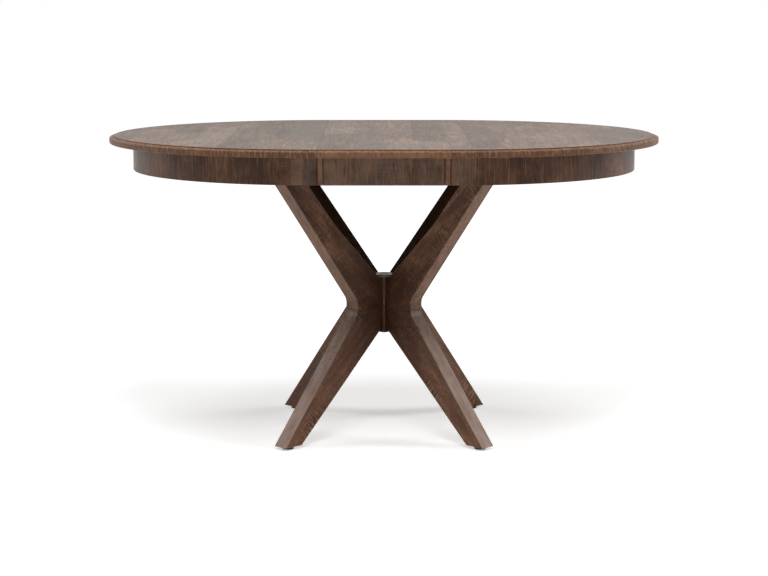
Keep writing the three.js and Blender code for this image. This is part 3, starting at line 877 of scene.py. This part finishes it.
@dataclass
class TableTop:
    """The two half tops and the leaf, with their stepped and rounded edge."""

    rim_width: float = 0.0126
    rim_step: float = 0.0028
    rim_round: float = 0.0038
    rim_ease: float = 0.0034
    arris: float = 0.0006
    arris_segments: int = 2
    pin_play: float = 0.0006
    round_steps: int = 8
    ease_steps: int = 5
    seam_rub: float = 0.1
    # Painted light on the step and on the rim's upright band, more on the leaf than on the halves.
    step_light: float = 0.6
    step_reach_share: float = 0.9
    rim_light: float = 0.5
    half_light_share: float = 1 / 3
    upright_normal: float = 0.6
    seam_normal: float = 0.2

    def __post_init__(self) -> None:
        """Reads the driving sizes from the frame."""
        low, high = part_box("leaf_top")
        self.bottom, self.top = low.z, high.z
        self.radius = high.y
        self.leaf_reach = high.x
        self.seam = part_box("top_half_right")[0].x

    def edge(self) -> list[tuple[float, float]]:
        """Works out the edge from the flat surface down to the underside.

        Returns:
            Pairs of a distance from the middle and a height.
        """
        inner = self.radius - self.rim_width
        soft = self.arris * CORNER_SHARE
        points = [(inner - self.arris, self.top), (inner - soft, self.top - soft)]
        points += [(inner, self.top - self.arris), (inner, self.top - self.rim_step)]
        for i in range(1, self.round_steps + 1):
            angle = i / self.round_steps * math.pi / 2
            drop = self.rim_step + self.rim_round * (1 - math.cos(angle))
            points.append((inner + self.rim_width * math.sin(angle), self.top - drop))
        for i in range(self.ease_steps + 1):
            angle = i / self.ease_steps * math.pi / 2
            out = self.radius - self.rim_ease * (1 - math.cos(angle))
            points.append((out, self.bottom + self.rim_ease * (1 - math.sin(angle))))
        return points

    def half(self, name: str, side: int) -> Piece:
        """Makes a half top by spinning its edge through half a turn.

        Args:
            name: The piece's name.
            side: 1 for the right half and -1 for the left.

        Returns:
            The half top.
        """
        centre = side * self.seam
        chain = [(0.0, self.top), *self.edge(), (0.0, self.bottom)]
        piece = draw_chain(name, [(centre, side * out, height) for out, height in chain])
        spin(piece, (centre, 0, 0), 0.5, HALF_TURN_STEPS)
        self.ease_seam(piece, centre)
        return piece

    def leaf(self) -> Piece:
        """Makes the leaf by drawing its section out along the seam's width.

        Returns:
            The leaf.
        """
        edge = self.edge()
        front = [(-self.leaf_reach, -out, height) for out, height in edge]
        back = [(-self.leaf_reach, out, height) for out, height in reversed(edge)]
        piece = draw_chain("top_wood_leaf", [*front, *back, front[0]])
        draw_out(piece, (2 * self.leaf_reach, 0, 0))
        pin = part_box("alignment_pin_right")
        play = self.pin_play
        for side in LEFT_AND_RIGHT.values():
            ends = sorted((side * (pin[0].x - play), side * (self.leaf_reach + play)))
            low = (ends[0], pin[0].y - play, self.bottom - play)
            carve(piece, low, (ends[1], pin[1].y + play, pin[1].z + play))
            self.ease_seam(piece, side * self.leaf_reach)
        return piece

    def ease_seam(self, piece: Piece, where: float) -> None:
        """Rounds the upper arris of a half top or the leaf, at the seam face that is there along X."""
        round_edges(piece, self.arris, self.arris_segments,
                    lambda *ends: all(abs(p.x - where) < WELD and p.z > self.top - WELD for p in ends))

    def mark_rim(self, piece: Piece) -> None:
        """Marks the arrises at the seams, and the rim from its step outwards.

        Args:
            piece: The half top or the leaf.
        """
        add_slots(piece, RIM_FACE + 1)
        for face in piece.data.polygons:
            middle, normal = face.center, face.normal
            at_seam = min(abs(abs(middle.x) - line) for line in (self.seam, self.leaf_reach)) < self.arris
            on_rim = self.step_distance(middle) > -self.arris and normal.z > -FLAT_NORMAL
            if at_seam and abs(normal.x) > SIDE_NORMAL:
                face.material_index = ARRIS_FACE if normal.z > self.seam_normal else MAIN_FACE
            else:
                face.material_index = RIM_FACE if on_rim else MAIN_FACE

    def step_distance(self, point: Vector) -> float:
        """Gives how far a point lies outside the step in the rim."""
        return math.hypot(max(abs(point.x) - self.seam, 0.0), point.y) - self.radius + self.rim_width

    def step_and_rim_light(self, centre: Vector, normal: Vector) -> float:
        """Gives how far a face of a top is painted lighter: the step most, then the leaf's rim, then the
        halves'.

        Args:
            centre: The face's middle.
            normal: The face's normal.

        Returns:
            The painted light, from 0 to 1.
        """
        if abs(self.step_distance(centre)) < self.arris * self.step_reach_share:
            return self.step_light
        if self.step_distance(centre) <= 0 or normal.z >= self.upright_normal:
            return 0.0
        return self.rim_light if abs(centre.x) < self.seam else self.rim_light * self.half_light_share

    def grain(self, centre: float, point: Vector, normal: Vector) -> Point:
        """Runs the grain front to back on the flat, and upright round the rim.

        Args:
            centre: Where the rim is centred along X, or 0 for the leaf.
            point: A point on a top.
            normal: Its face's normal.

        Returns:
            The place along the grain, across it and through the board.
        """
        if abs(normal.z) > FLAT_NORMAL:
            return (point.y, point.x, point.z)
        if not centre:
            return (point.z, point.x, abs(point.y))
        out = Vector((point.x - centre, point.y))
        return (point.z, math.atan2(out.y, out.x) * self.radius, out.length)

    def build(self) -> None:
        """Makes and dresses the three tops."""
        face, rim, lit_leaf_rim = TOP_STAIN.build(), RIM_STAIN.build(), LEAF_RIM_LIT_STAIN.build()
        jobs = [
            (self.half("top_wood_left", -1), "half_left", "top_half_left", -self.seam),
            (self.half("top_wood_right", 1), "half_right", "top_half_right", self.seam),
            (self.leaf(), "leaf", "leaf_top", 0.0),
        ]
        for shift, (piece, body, node, centre) in enumerate(jobs, 1):
            self.mark_rim(piece)
            lay_grain(piece, partial(self.grain, centre), shift, self.seam_rub, self.step_and_rim_light)
            hand_over(piece, body, "top_wood", [node], face, rim if centre else lit_leaf_rim)


@dataclass
class ApronRing:
    """The curved and straight aprons, and the strips that end them at the seams."""

    arris: float = 0.0015
    strip_arris: float = 0.0012
    # How far the leaf apron's painted light reaches into each curved apron.
    lit_end_reach: float = 0.058
    # Painted shade along the aprons' arrises, in their stains' dark worn colour.
    arris_rub: float = 0.9
    # Painted shade along the strips' arrises, in the seams.
    strip_edge_shade: float = 1.0

    def __post_init__(self) -> None:
        """Reads the driving sizes from the frame."""
        low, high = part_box("leaf_apron_back")
        self.inner, self.radius = low.y, high.y
        self.bottom, self.top = low.z, high.z
        self.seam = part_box("top_half_right")[0].x

    def section(self) -> list[tuple[float, float]]:
        """Gives the corners of the section.

        Returns:
            Pairs of a distance from the middle and a height, from the inner lower corner round to it again.
        """
        corners = [(self.inner, self.bottom), (self.radius, self.bottom)]
        corners += [(self.radius, self.top), (self.inner, self.top)]
        return [*corners, corners[0]]

    def curved(self, name: str, side: int) -> Piece:
        """Makes a curved apron by spinning its section through half a turn.

        Args:
            name: The piece's name.
            side: 1 for the right apron and -1 for the left.

        Returns:
            The apron.
        """
        centre = side * self.seam
        piece = draw_chain(name, [(centre, side * out, height) for out, height in self.section()])
        spin(piece, (centre, 0, 0), 0.5, HALF_TURN_STEPS)
        ease(piece, self.arris)
        return piece

    def straight(self, name: str, node: str, side: int, arris: float) -> Piece:
        """Makes a straight apron or strip by drawing its section out.

        Args:
            name: The piece's name.
            node: The CAD node whose length it has.
            side: -1 in front and 1 at the back.
            arris: How wide its rounded arrises are.

        Returns:
            The piece.
        """
        low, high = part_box(node)
        piece = draw_chain(name, [(low.x, side * out, height) for out, height in self.section()])
        draw_out(piece, (high.x - low.x, 0, 0))
        ease(piece, arris)
        return piece

    def grain(self, centre: float, point: Vector, normal: Vector) -> Point:
        """Runs the grain upright, and measures across it round the apron.

        Args:
            centre: Where the apron is centred along X, or 0 where it is straight.
            point: A point on the apron.
            normal: Its face's normal, which makes no difference here.

        Returns:
            The place along the grain, across it and through the board.
        """
        if not centre:
            return (point.z, point.x, abs(point.y))
        out = Vector((point.x - centre, point.y))
        return (point.z, math.atan2(out.y, out.x) * self.radius, out.length)

    def mark_lit_ends(self, piece: Piece) -> None:
        """Marks a band at each end of a curved apron that takes the leaf apron's lighter stain, painted light
        carried on from the leaf.

        Args:
            piece: The apron.
        """
        add_slots(piece, RIM_FACE + 1)
        for face in piece.data.polygons:
            if abs(face.center.x) < self.seam + self.lit_end_reach and face.material_index == MAIN_FACE:
                face.material_index = RIM_FACE

    def build(self) -> None:
        """Makes and dresses the aprons and the strips."""
        apron, leaf_apron, strip = APRON_STAIN.build(), LEAF_APRON_LIT_STAIN.build(), STRIP_STAIN.build()
        straight_grain = partial(self.grain, 0.0)
        for name, side in LEFT_AND_RIGHT.items():
            piece = self.curved(f"apron_wood_{name}", side)
            grain = partial(self.grain, side * self.seam)
            lay_grain(piece, grain, shift=side + 6, arris_wear_and_light=self.arris_rub)
            self.mark_lit_ends(piece)
            hand_over(piece, f"half_{name}", "apron_wood", [f"apron_{name}"], apron, leaf_apron)
        for place, end in FRONT_AND_BACK.items():
            node = f"leaf_apron_{place}"
            piece = self.straight(f"leaf_apron_wood_{place}", node, end, self.arris)
            lay_grain(piece, straight_grain, shift=end + 10, arris_wear_and_light=self.arris_rub)
            hand_over(piece, "leaf", "apron_wood", [node], leaf_apron)
            for name, side in LEFT_AND_RIGHT.items():
                node = f"leaf_strip_{name}_{place}"
                piece = self.straight(f"strip_wood_{name}_{place}", node, end, self.strip_arris)
                lay_grain(piece, straight_grain, shift=side * 2 + end + 20, arris_wear_and_light=self.strip_edge_shade)
                hand_over(piece, "leaf", "strip_wood", [node], strip)


@dataclass(frozen=True)
class Board:
    """One of the two boards of a bent leg, with its bend and its tip measured along the outer edge."""

    kind: str
    finish: StainedWood
    side: int
    bend: float
    fillet: float
    root_height: float
    tip_reach: float
    tip_width: float


@dataclass
class Pedestal:
    """The four bent legs, the square post in their middle, its cap, and the glides."""

    arm: Board = Board("arm", ARM_STAIN, side=1, bend=0.0248, fillet=0.03, root_height=0.39,
                       tip_reach=0.3713, tip_width=0.0426)
    leg: Board = Board("leg", LEG_STAIN, side=-1, bend=0.0104, fillet=0.026, root_height=0.258,
                       tip_reach=0.3572, tip_width=0.0529)
    thickness: float = 0.041
    arris: float = 0.0016
    knee_radius: float = 0.1135
    knee_height: float = 0.318
    fillet_steps: int = 8
    joint_gap: float = 0.00015
    post_side: float = 0.068
    post_arris: float = 0.0014
    post_end_arris_share: float = 0.6
    arris_rub: float = 0.45
    # Outer faces: partly wear, partly painted light for the light bounced off the floor and painted sheen.
    outer_wear_and_light: float = 0.6
    # Painted shade on the upper faces that are turned to the middle, under the top.
    inner_shade: float = -0.8
    outer_normal: float = 0.7
    inner_normal: float = -0.5
    # Painted highlight along the post's rounded corners.
    post_highlight: float = 0.8
    cap_inset: float = 0.0012
    cap_side: float = 0.0038
    cap_taper: float = math.radians(9)
    cap_soft: float = 0.0005
    glide_soft: float = 0.0016
    glide_relief: float = 0.0004
    glide_relief_shares: Band = (0.55, 0.6)
    glide_toe_share: float = 0.4
    glide_stem: float = 0.004

    def __post_init__(self) -> None:
        """Reads the heights that the frame gives."""
        self.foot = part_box("leg_back_right")[0].z
        self.tips = {self.arm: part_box("arm_back_right")[1].z, self.leg: self.foot}
        self.root = self.post_side / 2 + 2 * self.joint_gap

    def fillet(self, before: Point, corner: Point, after: Point, radius: float) -> list[Vector]:
        """Works out the points of a rounded corner between two straight edges.

        Args:
            before: A point on the first edge.
            corner: Where the edges would meet.
            after: A point on the second edge.
            radius: The corner's radius.

        Returns:
            The points, from the first edge to the second.
        """
        c = Vector(corner)
        to_first = (Vector(before) - c).normalized()
        to_second = (Vector(after) - c).normalized()
        half = to_first.angle(to_second) / 2
        centre = c + (to_first + to_second).normalized() * radius / math.sin(half)
        start = (c + to_first * radius / math.tan(half) - centre).normalized()
        end = (c + to_second * radius / math.tan(half) - centre).normalized()
        shares = [i / self.fillet_steps for i in range(self.fillet_steps + 1)]
        return [centre + start.slerp(end, share) * radius for share in shares]

    def plank(self, name: str, board: Board) -> Piece:
        """Makes a board by drawing its upright outline out through its thickness.

        Args:
            name: The piece's name.
            board: The board's sizes.

        Returns:
            The board, centred on Y, with its arrises rounded.
        """
        level = self.knee_height + board.side * self.joint_gap
        first = (self.root, 0, level)
        joint = (self.knee_radius, 0, level)
        corner = (self.knee_radius, 0, self.knee_height + board.side * board.bend)
        tip = (board.tip_reach, 0, self.tips[board])
        inner = (board.tip_reach - board.tip_width, 0, self.tips[board])
        knee = self.fillet(joint, corner, tip, board.fillet)
        outline = [first, joint, *knee, tip, inner, (self.root, 0, board.root_height), first]
        piece = draw_chain(name, [(x, -self.thickness / 2, z) for x, _, z in outline])
        draw_out(piece, (0, self.thickness, 0))
        ease(piece, self.arris)
        return piece

    def turn(self, piece: Piece, share: float) -> None:
        """Turns a piece about the upright axis through the middle, by a share of a half turn."""
        piece.rotation_euler.z = share * math.pi
        settle(piece)

    def slope(self, board: Board) -> float:
        """Gives the slope of a board's inner edge, in radians."""
        run = board.tip_reach - board.tip_width - self.root
        return math.atan2(self.tips[board] - board.root_height, run)

    def grain(self, slope: float, point: Vector, normal: Vector) -> Point:
        """Runs the grain along a board, before it is turned.

        Args:
            slope: The board's slope.
            point: A point on the board.
            normal: Its face's normal, which makes no difference here.

        Returns:
            The place along the grain, across it and through the board.
        """
        along = point.x * math.cos(slope) + point.z * math.sin(slope)
        across = point.z * math.cos(slope) - point.x * math.sin(slope)
        return (along, across, point.y)

    def face_wear_and_light(self, centre: Vector, normal: Vector) -> float:
        """Gives the wear and the painted light and shade of a face of a board, before it is turned.

        Its narrow outer faces are painted lighter, partly as wear and partly as painted light for the light
        bounced off the floor and painted sheen. The upper faces that are turned to the middle get painted
        shade, as a value below 0.

        Args:
            centre: The face's middle, which makes no difference here.
            normal: The face's normal.

        Returns:
            The wear and painted light, from -1 to 1, where below 0 is painted shade.
        """
        if abs(normal.y) > SIDE_NORMAL:
            return 0.0
        if normal.x > self.outer_normal:
            return self.outer_wear_and_light
        return self.inner_shade if normal.x < self.inner_normal and normal.z > SIDE_NORMAL else 0.0

    def post(self) -> Piece:
        """Makes the square post, with its arrises rounded.

        Returns:
            The post.
        """
        low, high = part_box("hub_post")
        size = (self.post_side, self.post_side, high.z - low.z)
        piece = add_block("post_wood", (0, 0, (low.z + high.z) / 2), size)
        add_slots(piece, ARRIS_FACE + 1)
        round_edges(piece, self.post_arris, segments=3, kind=ARRIS_FACE,
                    wanted=lambda a, b: abs(a.z - b.z) > self.post_arris)
        ease(piece, self.arris * self.post_end_arris_share, segments=2, angle=60.0)
        return piece

    def cap(self) -> Piece:
        """Makes the cap, a low cone on a drawn-in side, by spinning its outline.

        Returns:
            The cap.
        """
        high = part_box("hub_cap")[1]
        radius = high.x - self.cap_inset
        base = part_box("hub_post")[1].z + 2 * self.joint_gap
        shoulder = base + self.cap_side
        upper = radius - self.cap_side * math.tan(self.cap_taper)
        soft = self.cap_soft * CORNER_SHARE
        chain = [(0, base), (radius - self.cap_soft, base), (radius, base + self.cap_soft)]
        chain += [(upper, shoulder - self.cap_soft), (upper - soft, shoulder - soft)]
        chain += [(upper - self.cap_soft, shoulder), (0, high.z)]
        piece = draw_chain("cap_metal", [(out, 0, height) for out, height in chain])
        spin(piece, (0, 0, 0), 1.0, SMALL_TURN_STEPS)
        return piece

    def glide(self, corner: str) -> Piece:
        """Makes a glide by spinning its outline about its own axis.

        Args:
            corner: The corner that it stands in.

        Returns:
            The glide.
        """
        low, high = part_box(f"glide_{corner}")
        middle = (low + high) / 2
        radius = (high.x - low.x) / 2
        top = self.foot - 2 * self.joint_gap
        soft, relief, stem = self.glide_soft, self.glide_relief, self.glide_stem
        flat, rise = (radius * share for share in self.glide_relief_shares)
        part = soft * CORNER_SHARE
        chain = [(0, 0), (flat, 0.0), (rise, relief), (radius - soft, relief)]
        chain += [(radius - part, soft * self.glide_toe_share), (radius, soft + relief)]
        chain += [(radius, top - soft), (radius - part, top - part), (radius - soft, top)]
        chain += [(stem, top), (stem, high.z), (0, high.z)]
        places = [(middle.x + out, middle.y, height) for out, height in chain]
        piece = draw_chain(f"glide_disc_{corner}", places)
        spin(piece, (middle.x, middle.y, 0), 1.0, SMALL_TURN_STEPS)
        return piece

    def build(self) -> None:
        """Makes and dresses the pedestal."""
        finishes = {board: board.finish.build() for board in (self.arm, self.leg)}
        plastic = GLIDE_PLASTIC.build()
        for shift, (corner, share) in enumerate(CORNER_TURNS.items(), 30):
            for number, (board, finish) in enumerate(finishes.items()):
                piece = self.plank(f"{board.kind}_wood_{corner}", board)
                along = partial(self.grain, self.slope(board))
                lay_grain(piece, along, shift + 10 * number, self.arris_rub, self.face_wear_and_light)
                self.turn(piece, share)
                hand_over(piece, "pedestal", f"{board.kind}_wood", [f"{board.kind}_{corner}"], finish)
            node = f"glide_{corner}"
            hand_over(self.glide(corner), node, "glide_plastic", [node], plastic)
        post = self.post()
        # The post's corner arrises carry a painted highlight.
        lay_grain(post, lambda point, normal: (point.z, point.x, point.y), shift=50, arris_wear_and_light=self.post_highlight)
        self.turn(post, CORNER_TURNS["back_right"])
        hand_over(post, "pedestal", "arm_wood", ["hub_post"], POST_SHADED_STAIN.build())
        hand_over(self.cap(), "pedestal", "brushed_cap", ["hub_cap"], BRUSHED_CAP.build())


@dataclass
class SlidesAndLocks:
    """What is out of sight under the top: slides, gear, lock levers, bolts, pins, screws and glue blocks."""

    fit: float = 0.0003
    screw_radius: float = 0.0036
    head_shares: tuple[Band, ...] = ((0, 0), (1, 0), (1, 0.4), (0.85, 0.75), (0.5, 1), (0, 1))
    cross_shares: tuple[Point, ...] = ((0.6, 0.13, 0.5), (0.13, 0.6, 0.5))
    cross_drop_share: float = 1.1
    runner_screws: tuple[float, ...] = (0.51, 0.43, 0.33)
    runner_screw_rise: float = 0.0017
    plate_screw_x: float = 0.018
    plate_screw_y: float = 0.009
    plate_screw_rise: float = 0.00045
    plate_thickness: float = 0.002
    block: Point = (0.018, 0.055, 0.018)
    block_arris: float = 0.001
    block_turns: tuple[float, ...] = (-58.0, -24.0, 24.0, 58.0)
    leaf_block_x: float = 0.05

    def screws(self, name: str, body: str, places: Iterable[Vector], rise: float, steel: Material) -> None:
        """Makes the heads of a row of screws that are driven upwards.

        Args:
            name: The new piece's name.
            body: The body that they ride on.
            places: The middle of each head, on the surface that it lies on.
            rise: How far each head stands out of the surface.
            steel: Their finish.
        """
        heads = []
        r = self.screw_radius
        for place in places:
            outline = [(place.x + r * out, place.y, place.z - down * rise) for out, down in self.head_shares]
            head = draw_chain(name, outline)
            spin(head, place, 1.0, SCREW_TURN_STEPS)
            bottom = place - Vector((0, 0, rise * self.cross_drop_share))
            for reach in map(Vector, self.cross_shares):
                size = Vector((reach.x * r, reach.y * r, rise * reach.z))
                carve(head, bottom - size, bottom + size)
            heads.append(head)
        select_only(*heads)
        bpy.ops.object.join()
        heads[0].name = name
        hand_over(heads[0], body, "plated_steel", (), steel)

    def glue_blocks(self, name: str, body: str, spots: Iterable[tuple[Point, float]], wood: Material) -> None:
        """Makes the blocks that hold an apron to a top.

        Args:
            name: The new piece's name, with a number added to it.
            body: The body that they ride on.
            spots: The middle of each block and its turn about the upright axis, in degrees.
            wood: Their finish.
        """
        for number, (middle, turn) in enumerate(spots, 1):
            piece = add_block(f"{name}_{number}", middle, self.block, turn)
            ease(piece, self.block_arris, segments=2)
            hand_over(piece, body, "slide_wood", (), wood)

    def add_blocks(self, wood: Material) -> None:
        """Sets the glue blocks inside the aprons, just clear of them and of the tops.

        Args:
            wood: Their finish.
        """
        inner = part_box("leaf_apron_back")[0].y
        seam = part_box("top_half_right")[0].x
        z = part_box("leaf_top")[0].z - self.fit - self.block[2] / 2
        out = math.sqrt(inner ** 2 - (self.block[1] / 2) ** 2) - self.fit - self.block[0] / 2
        for name, side in LEFT_AND_RIGHT.items():
            spots = []
            for turn in map(math.radians, self.block_turns):
                middle = (side * (seam + out * math.cos(turn)), out * math.sin(turn), z)
                spots.append((middle, side * math.degrees(turn)))
            self.glue_blocks(f"glue_block_{name}", f"half_{name}", spots, wood)
        y = inner - self.fit - self.block[0] / 2
        xs = (-self.leaf_block_x, self.leaf_block_x)
        spots = [((x, end * y, z), 90.0) for x in xs for end in FRONT_AND_BACK.values()]
        self.glue_blocks("glue_block_leaf", "leaf", spots, wood)

    def add_screws(self, steel: Material) -> None:
        """Sets the screws of the runners, of the lock plates and of the stud plates.

        Args:
            steel: Their finish.
        """
        plates = {
            "left": {"lock_plate": "leaf", "stud_plate": "half_left"},
            "right": {"lock_plate": "half_right", "stud_plate": "leaf"},
        }
        signs = (-1, 1)
        corners = [Vector((i * self.plate_screw_x, j * self.plate_screw_y, 0)) for i in signs for j in signs]
        for name, side in LEFT_AND_RIGHT.items():
            for place in FRONT_AND_BACK:
                low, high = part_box(f"runner_{name}_{place}")
                spots = [Vector((side * x, (low.y + high.y) / 2, low.z)) for x in self.runner_screws]
                row = f"runner_screws_{name}_{place}"
                self.screws(row, f"half_{name}", spots, self.runner_screw_rise, steel)
                for kind, body in plates[name].items():
                    low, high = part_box(f"{kind}_{name}_{place}")
                    face = high.z - self.plate_thickness
                    middle = Vector(((low.x + high.x) / 2, (low.y + high.y) / 2, face))
                    spots = [middle + corner for corner in corners]
                    self.screws(f"{kind}_screws_{name}_{place}", body, spots, self.plate_screw_rise, steel)

    def build(self) -> None:
        """Gives each kept CAD node its finish, and adds the screws and the glue blocks."""
        slide, bearer = SLIDE_WOOD.build(), BEARER_WOOD.build()
        steel, brass = PLATED_STEEL.build(), PIN_BRASS.build()
        for name in LEFT_AND_RIGHT:
            redress(f"bearer_{name}", bearer)
            redress(f"alignment_pin_{name}", brass)
            for place in FRONT_AND_BACK:
                redress(f"runner_{name}_{place}", slide)
                for kind in ("rack", "lock_plate", "lock_lever", "stud_plate"):
                    redress(f"{kind}_{name}_{place}", steel)
        for place in FRONT_AND_BACK:
            redress(f"rail_{place}", slide)
            redress(f"pinion_{place}", steel)
            redress(f"pinion_pin_{place}", steel)
        for corner in CORNER_TURNS:
            redress(f"lag_bolt_{corner}", steel)
        self.add_screws(steel)
        self.add_blocks(slide)


@dataclass
class Studio:
    """The pale floor, the white surroundings, the soft lamps and the camera."""

    camera_place: Point = (0.0, -4.796, 1.0943)
    camera_dip: float = 6.4
    lens: float = 89.536
    sensor: float = 36.0
    shift: float = -0.1
    ambient: float = 0.01
    floor_size: float = 40.0
    floor_drop: float = 0.0002
    floor_tone: float = 0.9
    floor_band: Band = (1.2, 3.0)
    floor_glow: Band = (0.52, 1.0)
    lamp_size: float = 1.4
    lamp_aim: Point = (0.0, 0.0, 0.45)
    lamps: tuple[tuple[str, Point, float], ...] = (
        ("lamp_front", (0.0, -2.065, 3.399), 74.0),
        ("lamp_side_left", (-3.179, 0.0, 2.14), 31.0),
        ("lamp_side_right", (3.179, 0.0, 2.14), 49.0),
        ("lamp_over_left", (-1.231, 0.0, 3.833), 32.0),
        ("lamp_over_right", (1.231, 0.0, 3.833), 28.0),
    )

    def camera(self) -> None:
        """Places the camera at the photograph's point of view."""
        turn = (math.radians(90 - self.camera_dip), 0, 0)
        bpy.ops.object.camera_add(location=self.camera_place, rotation=turn)
        camera = bpy.context.object
        camera.data.sensor_width = self.sensor
        camera.data.lens = self.lens
        camera.data.shift_y = self.shift
        bpy.context.scene.camera = camera

    def surroundings(self) -> None:
        """Makes the world white where it is seen, and softer where it lights."""
        bench = NodeBench(bpy.data.worlds.new("surroundings"), "ShaderNodeOutputWorld")
        path = bench.add("ShaderNodeLightPath").outputs
        seen = bench.sum("ADD", path["Is Camera Ray"], path["Is Glossy Ray"])
        seen = bench.sum("ADD", seen, path["Is Transmission Ray"], clamp=True)
        strength = bench.add("ShaderNodeMapRange", {"Value": seen, "To Min": self.ambient}).outputs[0]
        light = bench.add("ShaderNodeBackground", {"Color": (1.0, 1.0, 1.0), "Strength": strength})
        bpy.context.scene.world = bench.close(light)

    def floor(self) -> None:
        """Lays the floor, which is white to the eye where no shadow falls."""
        bpy.ops.mesh.primitive_plane_add(size=self.floor_size, location=(0, 0, -self.floor_drop))
        floor = bpy.context.object
        floor.name = "floor"
        bench = NodeBench(bpy.data.materials.new("floor_white"))
        path = bench.add("ShaderNodeLightPath").outputs
        seen = bench.sum("ADD", path["Is Camera Ray"], path["Is Glossy Ray"], clamp=True)
        far = bench.between(bench.length(bench.seen()), self.floor_band)
        inputs = {"Value": far, "To Min": self.floor_glow[0], "To Max": self.floor_glow[1]}
        lift = bench.times(seen, bench.add("ShaderNodeMapRange", inputs).outputs[0])
        glow = bench.add("ShaderNodeEmission", {"Color": (1.0, 1.0, 1.0), "Strength": lift})
        tone = (self.floor_tone, self.floor_tone, self.floor_tone)
        matt = bench.add("ShaderNodeBsdfDiffuse", {"Color": tone})
        both = bench.add("ShaderNodeAddShader", {0: glow.outputs[0], 1: matt.outputs[0]})
        floor.data.materials.append(bench.close(both))

    def lamp(self, name: str, place: Point, power: float) -> None:
        """Hangs a soft square lamp that faces the middle of the table.

        Args:
            name: The lamp's name.
            place: Where it hangs.
            power: Its power in watts.
        """
        towards = Vector(self.lamp_aim) - Vector(place)
        turn = towards.to_track_quat("-Z", "Y").to_euler()
        bpy.ops.object.light_add(type="AREA", location=place, rotation=turn)
        lamp = bpy.context.object
        lamp.name = name
        lamp.data.shape = "SQUARE"
        lamp.data.size = self.lamp_size
        lamp.data.energy = power

    def build(self) -> None:
        """Sets the scene round the table."""
        bpy.context.scene.view_settings.view_transform = "Standard"
        self.camera()
        self.surroundings()
        self.floor()
        for name, place, power in self.lamps:
            self.lamp(name, place, power)


def main() -> None:
    """Builds the studio and every sub-assembly."""
    logging.basicConfig(level=logging.INFO, format="%(name)s: %(message)s")
    clear_selection()
    Studio().build()
    for assembly in (TableTop(), ApronRing(), Pedestal(), SlidesAndLocks()):
        assembly.build()


if __name__ == "__main__":
    main()
